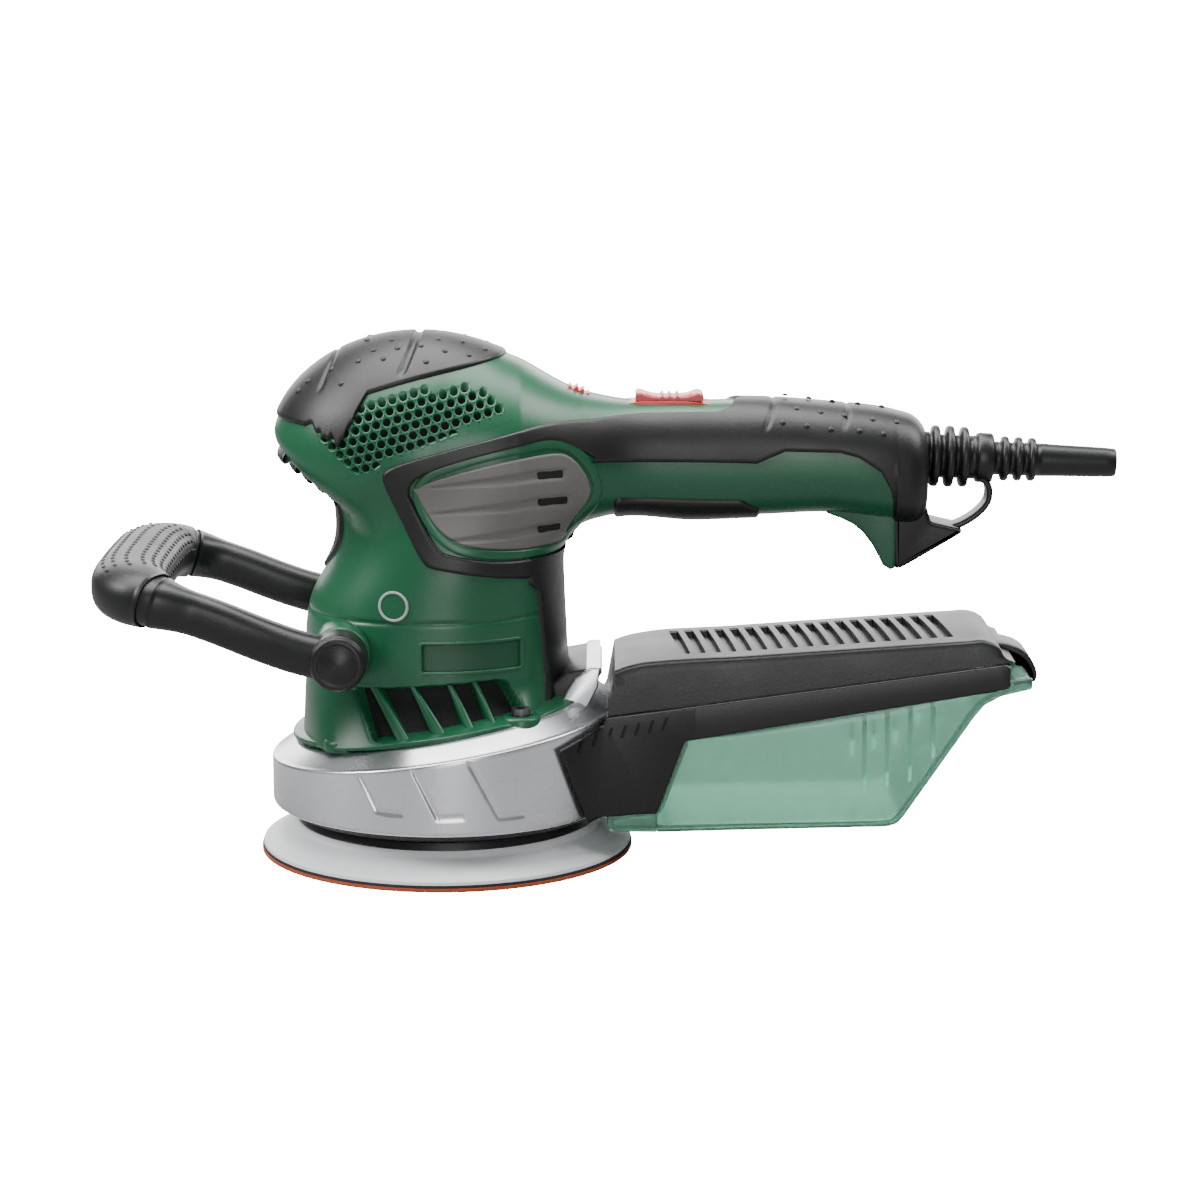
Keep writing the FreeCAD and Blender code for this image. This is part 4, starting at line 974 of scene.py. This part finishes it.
# Tapered grooves that widen towards the slots.
def panelDent(x, z):
    dent = np.zeros(np.shape(x))
    for left, level, right in slotLines:
        run = np.clip((x - (-4)) / (left + 4), 0, 1)
        centre = level - (1 - run) * 3.2
        width = 0.35 + 1.25 * run
        ends = smoothStep(-6, 2, x) * (1 - smoothStep(right - 1, right + 1, x))
        groove = np.exp(-((z - centre) / width) ** 4) * ends
        dent = dent + 0.75 * groove * (0.35 + 0.65 * run)
    return dent


# Panel as an even lattice between its lower and upper edge, so that the grooves stay crisp.
def panelPatch(side):
    edge = evenly(panelOutline, 600)
    left, right = edge[:, 0].min() + 0.05, edge[:, 0].max() - 0.05
    x = left + (right - left) * (0.5 - 0.5 * np.cos(np.linspace(0, np.pi, 110)))
    upper, lower = [], []
    for value in x:
        crossing = np.nonzero((edge[:, 0] - value) * (np.roll(edge[:, 0], -1) - value) <= 0)[0]
        upper.append(edge[crossing, 1].max())
        lower.append(edge[crossing, 1].min())
    upper, lower = np.array(upper), np.array(lower)
    t = 0.5 - 0.5 * np.cos(np.linspace(0, np.pi, 90))
    z = lower[:, None] + (upper - lower)[:, None] * t
    xs = x[:, None] + 0 * z
    height = edgeRoll(np.maximum(outlineDistance(xs, z, panelOutline), 0), 0.8, 0.75) - panelDent(xs, z)
    skin = sideSkin(xs, z, side)
    return skin + outward(skin) * height[..., None], gridQuads(110, 90, False, False, side > 0)


# Near-black floors sunk in the panel slots: painted shade in the slot openings.
def slotShadeFloors(side):
    parts = []
    for left, level, right in slotLines:
        outline = evenly(crisp([(left + 0.6, level - 1.4), (right, level - 1.4), (right, level + 1.4),
                                (left, level + 1.4)], 0.5), 60)
        parts.append(fanPatch(outline, side, 0.32, roll=0.5, rings=8))
    return parts


borderOutline = soften([(-10.2, 129.2), (10.0, 136.9 - 0.4), (30.3, 140.6), (37.6, 140.9), (44.0, 138.6),
                        (50.2, 130.4), (51.4, 122.3), (43.8, 113.0), (41.6, 108.0), (40.6, 104.6),
                        (17.9, 105.0), (0.4, 108.6)], 3)
for side, label, node in ((-1, "Near", "vent_panel_left"), (1, "Far", "vent_panel_right")):
    makePiece("ventPanel" + label, [panelPatch(side)], "housing", paint["panel"], (node,))
    makePiece("panelSlotShade" + label, slotShadeFloors(side), "housing", paint["darkAndPaintedShade"])
    makePiece("panelBorder" + label, [beadAlong(evenly(borderOutline, 260), side, 3.6, 0.75)], "housing",
              paint["green"])


def badgeRing(side):
    turn = np.linspace(0, 2 * np.pi, 72, endpoint=False)
    disc = np.stack([-14.9 + 5.3 * np.cos(turn), 89.1 + 5.3 * np.sin(turn)], -1)
    ring = np.stack([-14.9 + 4.5 * np.cos(turn), 89.1 + 4.5 * np.sin(turn)], -1)
    return fanPatch(disc, side, 0.12, roll=0.4, rings=12), beadAlong(ring, side, 1.1, 0.5)


makePiece("badges", [badgeRing(s)[1] for s in (-1, 1)], "housing", paint["badge"],
          ("side_trim",))
makePiece("badgeFaces", [badgeRing(s)[0] for s in (-1, 1)], "housing", paint["green"])
makePiece("plates", [fanPatch(evenly(plateOutline, 120) * [0.965, 0.9] + [0.35, 7.23], s, -0.45, roll=0.4,
                              sunk=0.9)
                     for s in (-1, 1)], "housing", paint["greenDark"])
makePiece("plateFrames", [beadAlong(evenly(plateOutline, 160), s, 1.3, 0.3) for s in (-1, 1)], "housing",
          paint["green"])
print("panels made")


# Base shroud and outlet.
shroud = {"radius": 58.5, "bottom": 17.0, "wall": 2.5, "topRadius": 50.8}


# Drum whose top edge follows the sloping roof line; a rolled lower lip and a bevelled shoulder.
def shroudDrum():
    turn = np.linspace(0, 2 * np.pi, 840, endpoint=False)
    r = shroud["radius"]
    top = roofLine(r * np.cos(turn)) - 0.6
    q = np.linspace(0, np.pi / 2, 5)
    lift = np.linspace(0, 1, 26)
    bottom = shroud["bottom"] + 0.0 * turn
    rows = [(56.2, bottom + 6), (56.2, bottom + 0.8), (56.8, bottom + 0.15), (57.6, bottom),
            (58.2, bottom + 0.3),
            (r, bottom + 1.0)]
    rows += [(r, bottom + 1.0 + (top - 1.0 - bottom - 1.0) * k) for k in lift[1:]]
    rows += [(r - 1.0 + 1.0 * math.cos(a), top - 1.0 + 1.0 * math.sin(a)) for a in q[1:]]
    rows += [(r - 1 - (r - 1 - shroud["topRadius"]) * k, top + 4.6 * k) for k in np.linspace(0.08, 1, 8)]
    rows += [(48.0, top + 4.9), (46.0, top + 4.0)]
    z = np.stack([h for _, h in rows])
    radius = np.array([k for k, _ in rows])[:, None] + 0 * z
    level = (z - bottom) / (top - bottom)
    onWall = smoothStep(0.02, 0.10, level) * (1 - smoothStep(0.90, 0.98, level))
    x = radius * np.cos(turn)
    for upper, head, lower, foot in ((-26.7, 38.3, -19.9, 24.9), (-9.3, 41.4, -0.4, 23.5),
                                     (8.8, 43.6, 19.0, 23.5)):
        centre = upper + (head - z) / (head - foot) * (lower - upper)
        groove = 1 - smoothStep(0.35, 0.8, np.abs(x - centre))
        step = (1 - smoothStep(0.3, 0.7, np.abs(z - foot))) * smoothStep(lower - 0.5, lower, x)
        step = step * (1 - smoothStep(lower + 8, lower + 9, x))
        shown = smoothStep(foot - 0.6, foot, z) * (np.abs(np.sin(turn)) > 0.3)
        radius = radius - 0.6 * np.maximum(groove * shown, step * (np.abs(np.sin(turn)) > 0.3)) * onWall
    points = np.stack([radius * np.cos(turn), radius * np.sin(turn), z], -1)
    return points, gridQuads(len(rows), 840, False, True, True)


wingOutline = [(30.6, 47.2), (33.7, 48.1), (36.4, 50.4), (38.6, 53.6), (40.9, 58.2), (43.5, 62.2),
               (48.4, 65.4),
               (51.9, 65.4), (51.1, 59.1), (48.4, 53.6), (45.3, 48.1), (37.3, 41.3), (30.6, 41.3)]
makePiece("silverShroud", [shroudDrum()], "housing", paint["silver"], ("base_shroud",))
makePiece("shroudTower", [plateOf(wingOutline, -24, 24, 0.8)], "housing", paint["silver"],
          ("shroud_tower",), angle=35)
ductOutline = [(29.0, 47.0), (34.0, 58.0), (40.8, 63.6), (51.0, 65.3), (52.4, 63.2), (47.0, 56.0),
               (40.0, 46.0)]
makePiece("outletDuct", [plateOf(ductOutline, -22.0, 22.0, 0.8), plateOf(
    [(50.0, 21.5), (68.0, 21.5), (68.0, 40.5), (50.0, 40.5)], -15, 15, 1.0)], "housing",
          paint["charcoal"], ("dust_outlet_duct",), angle=35)


# Round seats on the foot flange under the four screws.
def screwBosses():
    parts = []
    for x, y in ((-32.0, 34.0), (26.0, 38.0), (-32.0, -34.0), (26.0, -38.0)):
        z = float(roofLine(x)) + 3.2
        parts.append(lathe([(6.6, z), (6.6, z + 2.6), (6.2, z + 3.4), (5.4, z + 3.7), (3.9, z + 3.7),
                            (3.6, z + 3.3),
                            (3.6, z + 1)], (x, y), 40))
    return parts


makePiece("screwBosses", screwBosses(), "housing", paint["green"])


# Profile of (radius, distance out) turned about the cross axis of the front handle, once for each side.
def turnedAcross(profile, segments):
    low, high = boxOf("pivot_caps")
    cx, cz = (low[0] + high[0]) / 2, (low[2] + high[2]) / 2
    parts = []
    for side in (-1, 1):
        pts, faces = lathe(profile, (0, 0), segments)
        pts = np.stack([cx + pts[..., 0], side * pts[..., 2], cz + pts[..., 1]], -1)
        parts.append((pts, faces if side < 0 else faces[:, ::-1]))
    return parts


bossProfile = [(9.5, 24.0), (9.5, 42.6), (9.2, 43.6), (8.4, 44.0), (4.2, 44.0), (4.2, 30.0)]
makePiece("pivotBosses", turnedAcross(bossProfile, 56), "housing", paint["green"])
print("base made")


# Cord exit.
# Ribbed sleeve turned about a line that leans down slightly, with its bore open at the end.
def cordSleeve():
    lean = math.radians(2.2)
    prof = [(3.75, 0.4), (8.0, 0.4), (8.0, 7.4)]
    for s, r in ((9.6, 10.2), (14.4, 10.2), (19.2, 10.0)):
        prof += [(7.2, s - 1.7), (r - 0.5, s - 1.25), (r, s - 0.7), (r, s + 0.7), (r - 0.5, s + 1.25),
                 (7.2, s + 1.7)]
    prof += [(7.2, 23.0), (8.0, 23.4), (8.3, 24.2), (8.3, 28.0), (7.8, 28.8), (5.6, 29.2)]
    for s, r in ((32.8, 7.4), (37.3, 7.3), (41.8, 7.2)):
        prof += [(5.5, s - 1.5), (r - 0.4, s - 1.1), (r, s - 0.6), (r, s + 0.6), (r - 0.4, s + 1.1),
                 (5.5, s + 1.5)]
    prof += [(5.5, 45.0), (5.3, 50.0), (4.9, 66.0), (4.7, 69.0), (4.4, 69.7), (3.9, 69.7), (3.75, 69.2),
             (3.75, 55.0),
             (3.75, 0.4)]
    pts, faces = lathe(prof, (0, 0), 64)
    u, v, s = pts[..., 0], pts[..., 1], pts[..., 2]
    x = 153.0 + s * math.cos(lean) + u * math.sin(lean)
    z = 132.8 - s * math.sin(lean) + u * math.cos(lean)
    return np.stack([x, v, z], -1), faces[:, ::-1]


makePiece("bendSleeve", [cordSleeve()], "housing", paint["black"], ("cord_sleeve",))
strapPath = soften([(177.0, 0, 125.6), (180.2, 0, 124.0), (181.0, 0, 120.4), (180.2, 0, 116.8),
                    (176.6, 0, 113.0),
                    (171.8, 0, 110.0), (168.0, 0, 108.8)], 3, False)


def hangingStrap():
    n = len(strapPath)
    along = np.gradient(strapPath, axis=0)
    along /= np.linalg.norm(along, axis=1, keepdims=True)
    side = np.tile([0, 1.0, 0], (n, 1))
    up = np.cross(along, side)
    section = ringSection(5.0, 1.1, 5, 28)[None].repeat(n, 0)
    return sweep(strapPath, side, up, section)


makePiece("hangStrap", [hangingStrap()], "housing", paint["black"], ("hanging_strap",))


# Switch and dial.
# Saddle between two raised ends, with three cross ribs.
def slider():
    x = np.linspace(63.4, 85.8, 90)
    base = 151.8
    top = base + np.interp(x, [63.4, 64.0, 65.4, 68.6, 71, 78, 80.6, 83.4, 85.2, 85.8],
                           [1.7, 2.4, 2.3, 1.2, 0.9, 0.9, 1.2, 2.3, 2.1, 1.3])
    for rib in (72.2, 74.7, 77.2):
        top = top + 0.8 * np.exp(-((x - rib) / 0.5) ** 4)
    half = 6.5
    section = [(-half, -0.1), (-half, 0.75), (-half + 0.5, 1.0), (half - 0.5, 1.0), (half, 0.75),
               (half, -0.1)]
    y = np.array([a for a, _ in section])
    k = np.array([b for _, b in section])
    pts = np.stack([x[:, None] + 0 * y, y + 0 * x[:, None], base + (top - base)[:, None] * k], -1)
    faces = gridQuads(90, 6, False, True, True).tolist() + [[0, 1, 2, 3, 4, 5][::-1],
                                                            [534 + j for j in range(6)]]
    stem = plateOf([(72, 146.2), (76, 146.2), (76, 152.0), (72, 152.0)], -2, 2, 0.2)
    return [(pts.reshape(-1, 3), faces), stem]


makePiece("slideSwitch", slider(), "switch", paint["red"], ("switch_slider",), angle=40)
makePiece("switchBed", [plateOf(soften([(58.3, 148.0), (88.0, 148.0), (88.0, 151.5), (58.3, 151.5)], 1), -7,
                                7, 0.5)],
          "housing", paint["red"], ("switch_plate",), angle=40)


def dialWheel():
    low, high = boxOf("speed_wheel")
    cx, cz = (low[0] + high[0]) / 2, (low[2] + high[2]) / 2
    turn = np.linspace(0, 2 * np.pi, 192, endpoint=False)
    tooth = 0.55 * np.clip(np.cos(turn * 24) * 1.8, -1, 1)
    rows = [(-5.0, 2.0, 0), (-5.0, 7.2, 0), (-4.6, 8.2, 0.5), (-4.0, 8.45, 1), (0, 8.45, 1), (4.0, 8.45, 1),
            (4.6, 8.2, 0.5),
            (5.0, 7.2, 0), (5.0, 2.0, 0)]
    pts = np.stack([np.stack([cx + (r + tooth * k) * np.cos(turn), y + 0 * turn,
                              cz + (r + tooth * k) * np.sin(turn)], -1)
                    for y, r, k in rows])
    faces = gridQuads(9, 192, False, True, False).tolist()
    faces += [list(range(192)), [8 * 192 + k for k in range(192)][::-1]]
    axle, axleFaces = lathe([(0.01, -8), (1.4, -8), (1.5, -7.8), (1.5, 9.8), (1.4, 10), (0.01, 10)], (0, 0),
                            24)
    axle = np.stack([cx + axle[..., 0], axle[..., 2], cz + axle[..., 1]], -1)
    return [(pts.reshape(-1, 3), faces), (axle, axleFaces[:, ::-1])]


makePiece("speedDial", dialWheel(), "dial", paint["red"], ("speed_wheel",), angle=35)
print("controls made")


# Front handle.
loop = {"armWide": 6.2, "armHigh": 7.0, "barWide": 12.2, "barHigh": 9.0}


# Arm, corner, bar, corner, arm: a U seen from above that climbs to the front.
def loopPath():
    half = [(-32.0, -50.7, 73.7), (-44.0, -49.5, 75.6), (-58.0, -47.5, 80.2), (-74.0, -47.0, 86.8),
            (-90.0, -47.0, 91.8), (-99.0, -41.0, 93.9), (-101.8, -28.0, 94.3), (-102.2, -14.0, 94.4)]
    full = half + [(x, -y, z) for x, y, z in half[::-1]]
    return evenly(soften(full, 4, False), 190, False)


# Path, side and up directions, and half width and height of the section, growing from arm to bar.
def loopFrame(grow):
    path = loopPath()
    along = np.gradient(path, axis=0)
    along /= np.linalg.norm(along, axis=1, keepdims=True)
    side = np.cross(along, [0, 0, 1.0])
    side /= np.linalg.norm(side, axis=1, keepdims=True)
    up = np.cross(side, along)
    front = smoothStep(78, 98, -path[:, 0])
    wide = loop["armWide"] + (loop["barWide"] - loop["armWide"]) * front + grow
    high = loop["armHigh"] + (loop["barHigh"] - loop["armHigh"]) * front + grow
    return path, side, up, wide, high


def loopSweep(first, last, grow=0.0):
    path, side, up, wide, high = loopFrame(grow)
    unit = ringSection(1, 1, 2.5, 48)
    section = unit[None] * np.stack([wide, high], -1)[:, None]
    s = slice(first, last)
    return sweep(path[s], side[s], up[s], section[s])


armEnd = [(4.1, 44.6), (8.2, 44.6), (8.9, 45.2), (9.2, 46.0), (9.2, 55.6), (8.9, 56.5), (8.2, 57.0),
          (4.1, 57.0)]
count = 190
seam = 52
makePiece("loopArms", [loopSweep(3, seam), loopSweep(count - seam, count - 3)] + turnedAcross(armEnd, 64),
          "front_handle",
          paint["black"], ("handle_loop",))
makePiece("loopGrip", [loopSweep(seam + 1, count - seam - 1, 0.25),
                       loopSweep(seam - 3, count - seam + 3, -0.6)],
          "front_handle", paint["soft"], ("handle_grip",))


# Small raised dashes in staggered rows round the top and front of the grip bar.
def gripDashes():
    path, side, up, wide, high = loopFrame(0.25)
    at = np.linspace(62, 127, 34).astype(int)
    centres, normals = [], []
    for row, angle in enumerate(np.radians([52, 70, 88, 106, 124, 142, 160, 178])):
        k = at[(row % 2)::2]
        c, s = math.cos(angle), math.sin(angle)
        u = np.sign(c) * abs(c) ** 0.8 * wide[k]
        v = np.sign(s) * abs(s) ** 0.8 * high[k]
        centres.append(path[k] + side[k] * -u[:, None] + up[k] * v[:, None])
        normals.append(side[k] * (-u / wide[k] ** 1.6)[:, None] + up[k] * (v / high[k] ** 1.6)[:, None])
    return domes(np.concatenate(centres), np.concatenate(normals), 0.8, 0.4)


makePiece("gripDashes", [gripDashes()], "front_handle", paint["soft"])


capProfile = [(8.7, 56.6), (8.7, 57.3), (8.3, 58.0), (7.2, 58.35), (6.6, 58.3), (6.3, 58.0), (6.0, 58.0),
              (5.6, 58.35), (0.01, 58.5)]
makePiece("pivotCaps", turnedAcross(capProfile, 64), "front_handle", paint["black"],
          ("pivot_caps",))
print("front handle made")


# Dust box.
box = {"half": 31.0, "ledgeFront": (54.0, 50.4), "ledgeRear": (185.0, 68.2), "drum": 59.2, "slots": 18,
       "slotPitch": 5.1, "slotWide": 2.6, "slotStart": 77.0, "lidHalf": 28.6}


def ledgeLine(x):
    (x0, z0), (x1, z1) = box["ledgeFront"], box["ledgeRear"]
    return z0 + (x - x0) * (z1 - z0) / (x1 - x0)


# Bevelled lid: a section of skirt, shoulder, bevel and crowned top carried along the box.
def lidShell():
    edges = box["slotStart"] + box["slotPitch"] * np.arange(box["slots"])
    crisp = (edges[:, None] + np.array([-0.25, 0.0, 0.35, box["slotWide"] - 0.35, box["slotWide"],
                                        box["slotWide"] + 0.25])).ravel()
    x = np.unique(np.concatenate([54.0 + 3.0 * (1 - np.cos(np.linspace(0, np.pi / 2, 8))),
                                  np.linspace(58, 76, 14),
                                  crisp, np.linspace(169, 184, 12),
                                  187.5 - 3.0 * (1 - np.sin(np.linspace(0, np.pi / 2, 8)))]))
    low = ledgeLine(x) - 0.1
    top = smoothLine(x, [54, 57, 62, 100, 141, 172, 177, 180, 184, 187.5],
                     [65.6, 66.6, 67.6, 70.6, 73.5, 75.6, 75.9, 75.2, 72.6, 70.0])
    half = box["lidHalf"]
    rim = np.array([1.0, 0.991, 0.975, 0.962, 0.945, 0.92, 0.885, 0.85])
    rimLevel = np.array([0.0, 0.3, 0.75, 0.90, 0.955, 0.985, 0.997, 1.0])
    flat = 24.0
    middle = np.linspace(-0.82, 0.82, 65)
    y = np.concatenate([-rim, middle, rim[::-1]])
    level = np.concatenate([rimLevel, 1 + 0 * middle, rimLevel[::-1]])
    Y = half * y + 0 * x[:, None]
    Z = low[:, None] + (top - 0.5 - low)[:, None] * level
    Z = Z + np.where(np.abs(Y) < flat, 0.6 * (1 - (Y / flat) ** 2), 0)
    X = x[:, None] + 0 * Y
    X = X + 2.6 * level * (1 - smoothStep(54, 66, X)) - 3.0 * level * smoothStep(182, 187.5, X)
    phase = (X - box["slotStart"]) / box["slotPitch"]
    index = np.floor(phase + 0.06)
    along = X - box["slotStart"] - index * box["slotPitch"]
    inSlot = (index >= 0) & (index < box["slots"]) & (along > -0.05) & (along < box["slotWide"] + 0.05)
    depth = 2.2 * (1 - smoothStep(17.6, 18.6, np.abs(Y)))
    Z = Z - np.where(inSlot, depth, 0)
    slant = np.where(np.abs(Y) < 21, 0.09 * Y, 0.09 * np.clip(Y, -21, 21))
    X = X - slant * smoothStep(66, 76, X) * (1 - smoothStep(168, 178, X))
    pts = np.stack([X, Y, Z], -1)
    n, m = Y.shape
    faces = gridQuads(n, m, False, False, False).tolist()
    faces += [list(range(m)), [(n - 1) * m + k for k in range(m)][::-1]]
    return pts.reshape(-1, 3), faces


latchOutline = soften([(182.0, 70.8), (187.0, 70.6), (193.5, 68.4), (197.6, 61.6), (197.2, 57.4),
                       (195.5, 57.6),
                       (195.4, 61.0), (192.0, 66.2), (184.0, 68.8)], 2)
makePiece("boxLid", [lidShell(), plateOf(latchOutline, -9, 9, 0.8)], "lid", paint["charcoal"],
          ("box_lid",), angle=32)


# Wraps a piece round the shroud: its middle is pushed back and its side faces swing out past it.
def drumCut(points):
    p = np.array(points, float)
    r = box["drum"]
    low = p[:, 2] < 47.5
    outer = np.abs(p[:, 1]) > box["half"] - 0.95
    limit = np.sqrt(np.maximum(r ** 2 - np.minimum(np.abs(p[:, 1]), box["half"]) ** 2, 0))
    swing = np.sqrt(np.maximum((r + 1.4) ** 2 - p[:, 0] ** 2, 0))
    flared = np.sign(p[:, 1]) * np.maximum(np.abs(p[:, 1]), swing - (box["half"] - np.abs(p[:, 1])))
    p[:, 1] = np.where(low & outer, flared, p[:, 1])
    p[:, 0] = np.where(low, np.where(outer, p[:, 0], np.maximum(p[:, 0], limit)), np.maximum(p[:, 0], 53.0))
    return p


collarOutline = evenly([(38.6, 42.9), (47.8, 16.3), (70.5, 17.9), (79.6, 42.2), (83.5, 42.9), (83.5, 54.0),
                        (54.0, 50.2),
                        (53.0, 48.0)], 120)
bandOutline = evenly([(78.0, 42.0), (185.8, 59.7), (186.0, 67.6), (185.0, 68.0), (78.0, 53.4)], 100)


def boxFrame():
    collar, faces = plateOf(collarOutline, -box["half"], box["half"], 0.9, 4, 40)
    parts = [(drumCut(collar), faces)]
    for side in (-1, 1):
        low, high = sorted((side * 28.4, side * (box["half"] - 0.05)))
        parts.append(plateOf(bandOutline, low, high, 0.7))
    parts.append(plateOf([(181.5, 59.0), (185.9, 59.7), (186, 67.6), (181.5, 67.2)], -28.5, 28.5, 0.3))
    return parts


makePiece("boxCollar", boxFrame(), "dust_box", paint["black"], ("box_frame",), angle=32)


# Finger notches on the collar's shoulder: short upright patches almost flush with the face, their rims tucked
# in, in near-black as painted shade standing in for the grooves.
def collarNotchShade():
    parts = []
    for side in (-1, 1):
        for index in range(7):
            x = 44.6 + 4.5 * index
            z = 43.2 + 0.85 * index
            outline = evenly(crisp([(x, z - 2.5), (x + 1.1, z - 2.5), (x + 2.7, z + 2.5),
                                    (x + 1.6, z + 2.5)], 0.3), 28)
            s = np.linspace(0, 1, 7)[:, None, None]
            mid = outline.mean(0)
            flat = outline[None] + (mid - outline)[None] * s
            wrapped = np.sqrt(np.maximum((box["drum"] + 1.4) ** 2 - flat[..., 0] ** 2, 0))
            face = np.where(flat[..., 1] < 47.5, np.maximum(box["half"], wrapped), box["half"])
            y = side * (face + 0.12 - np.array([0.4, 0.0, 0.10, 0.10, 0.10, 0.10, 0.10])[:, None] + 0
                        * flat[..., 0])
            pts = np.stack([flat[..., 0], y, flat[..., 1]], -1)
            parts.append((pts, gridQuads(7, 28, False, True, side > 0)))
    return parts


makePiece("collarNotchShade", collarNotchShade(), "dust_box", paint["darkAndPaintedShade"])


def tubHalf(z):
    return 27.6 + 1.9 * np.clip((z - 10.5) / 50, 0, 1)


# Tub surface, its front lip drawn round the shroud.
def tubPoints(x, y, z):
    nearFront = np.clip((70.4 - x) / 9.8, 0, 1)
    return np.stack([x + (np.sqrt(60.6 ** 2 - y ** 2) - 60.6) * nearFront, y, z], -1)


# Clear tub: a floor that turns up at both ends between two tapered side walls.
def dustTub():
    back = [(100.0, 12.1), (146.5, 13.2), (149.6, 14.2), (151.6, 16.4), (174.2, 50.4), (177.6, 54.6),
            (183.0, 57.6),
            (193.0, 60.0), (193.0, 63.4), (186.2, 62.4)]
    floor = [(79.4, 42.2), (70.4, 17.6), (60.6, 16.6), (60.6, 12.6), (62.4, 11.0)] + back
    line = evenly(crisp(floor, 1.6)[2:-2], 190, False)
    y = np.linspace(-1, 1, 21)
    half = tubHalf(line[:, 1])
    bottom = tubPoints(line[:, :1] + 0 * y, half[:, None] * y, line[:, 1:] + 0 * y)
    parts = [(bottom, gridQuads(190, 21, False, False, False))]
    lowEdge = evenly([(79.4, 42.2), (70.4, 17.6), (70.4, 11.3)] + back, 190, False)
    rim = evenly([(79.5, 42.25), (185.8, 59.7)], 190, False)
    lip = evenly([(60.6, 16.6), (70.4, 17.6)], 12, False), evenly([(61.2, 11.5), (70.4, 11.3)], 12, False)
    across = np.linspace(0, 1, 14)[None, :, None]
    for first, second in ((lowEdge, rim), lip):
        flat = first[:, None] * (1 - across) + second[:, None] * across
        for way in (-1, 1):
            wall = tubPoints(flat[..., 0], way * tubHalf(flat[..., 1]), flat[..., 1])
            parts.append((wall, gridQuads(len(first), 14, False, False, (way > 0) == (first is lowEdge))))
    return parts


tub = makePiece("dustTub", dustTub(), "dust_box", paint["clear"], ("dust_container",),
                angle=35)
thicken(tub, 1.6)


# Upright ribs inside the tub's side walls.
def tubRibs():
    parts = []
    for side in (-1, 1):
        for x, foot, head in ((138.0, 24.0, 50.0), (145.5, 26.0, 51.2), (153.0, 28.0, 52.4),
                              (160.5, 36.0, 53.2)):
            y0, y1 = sorted((side * 25.4, side * 27.4))
            parts.append(plateOf([(x, foot), (x + 1.4, foot), (x + 1.4, head), (x, head)], y0, y1, 0.2))
    return parts


makePiece("tubRibs", tubRibs(), "dust_box", paint["clear"])
print("dust box made")


# Floor, light and camera.
def areaLight(name, place, aim, size, power):
    light = bpy.data.lights.new(name, "AREA")
    light.shape = "RECTANGLE"
    light.size, light.size_y = size
    light.energy = power
    lamp = bpy.data.objects.new(name, light)
    bpy.context.scene.collection.objects.link(lamp)
    lamp.location = place
    lamp.visible_camera = False
    away = np.array(place) - np.array(aim)
    flat = math.hypot(away[0], away[1])
    lamp.rotation_euler = (math.atan2(flat, away[2]), 0, math.atan2(away[1], away[0]) + math.pi / 2)
    return lamp


# Background strength that is bright where the camera sees it and dim as a source of light.
def shownBright(tree, dim, bright):
    ray = tree.nodes.new("ShaderNodeLightPath")
    mix = tree.nodes.new("ShaderNodeMath")
    mix.operation = "MULTIPLY_ADD"
    tree.links.new(ray.outputs["Is Camera Ray"], mix.inputs[0])
    mix.inputs[1].default_value = bright - dim
    mix.inputs[2].default_value = dim
    return mix.outputs[0]


floorMesh = bpy.data.meshes.new("floor")
floorMesh.from_pydata([(-6, -6, 0), (6, -6, 0), (6, 6, 0), (-6, 6, 0)], [], [(0, 1, 2, 3)])
floorPaint = makeSurface("paleFloor", (0.22, 0.22, 0.22), 0.6, 40, 0.0, wearAndSheen=0.0, variation=0.0)
floorShader = floorPaint.node_tree.nodes["Principled BSDF"]
floorShader.inputs["Emission Color"].default_value = (1, 1, 1, 1)
floorPaint.node_tree.links.new(shownBright(floorPaint.node_tree, 0.0, 22.0),
                               floorShader.inputs["Emission Strength"])
floorMesh.materials.append(floorPaint)
floorPiece = bpy.data.objects.new("floor", floorMesh)
bpy.context.scene.collection.objects.link(floorPiece)

world = bpy.data.worlds.new("paleRoom")
world.use_nodes = True
backdrop = world.node_tree.nodes["Background"]
backdrop.inputs["Color"].default_value = (1.0, 1.0, 1.0, 1)
world.node_tree.links.new(shownBright(world.node_tree, 0.16, 22.0), backdrop.inputs["Strength"])
bpy.context.scene.world = world
areaLight("topSoftbox", (-0.1, 0.1, 1.0), (0.0, 0.0, 0.1), (1.1, 0.8), 22)
areaLight("frontSoftbox", (0.12, -1.3, 0.35), (0.02, 0.0, 0.06), (0.35, 0.7), 4.5)
areaLight("leftSoftbox", (-0.9, -0.25, 0.8), (0.0, 0.0, 0.12), (0.4, 0.5), 12)
areaLight("backSoftbox", (0.1, 1.6, 0.5), (0.0, 0.0, 0.1), (2.4, 0.8), 26)
areaLight("rimSoftbox", (0.8, 0.1, 0.9), (0.08, 0.0, 0.1), (0.6, 0.6), 10)

view = {"aim": (51.7, 0.0, 83.66), "distance": 1100.0, "pitch": 10.9, "focal": 3287 / 1200 * 36}
camera = bpy.data.cameras.new("camera")
camera.lens = view["focal"]
camera.sensor_width = 36
camera.clip_end = 20
cameraPiece = bpy.data.objects.new("camera", camera)
bpy.context.scene.collection.objects.link(cameraPiece)
pitch = math.radians(view["pitch"])
cameraPiece.location = (view["aim"][0] * mm, -view["distance"] * math.cos(pitch) * mm,
                        (view["aim"][2] + view["distance"] * math.sin(pitch)) * mm)
cameraPiece.rotation_euler = (math.pi / 2 - pitch, 0, 0)
bpy.context.scene.camera = cameraPiece
print("stage made")
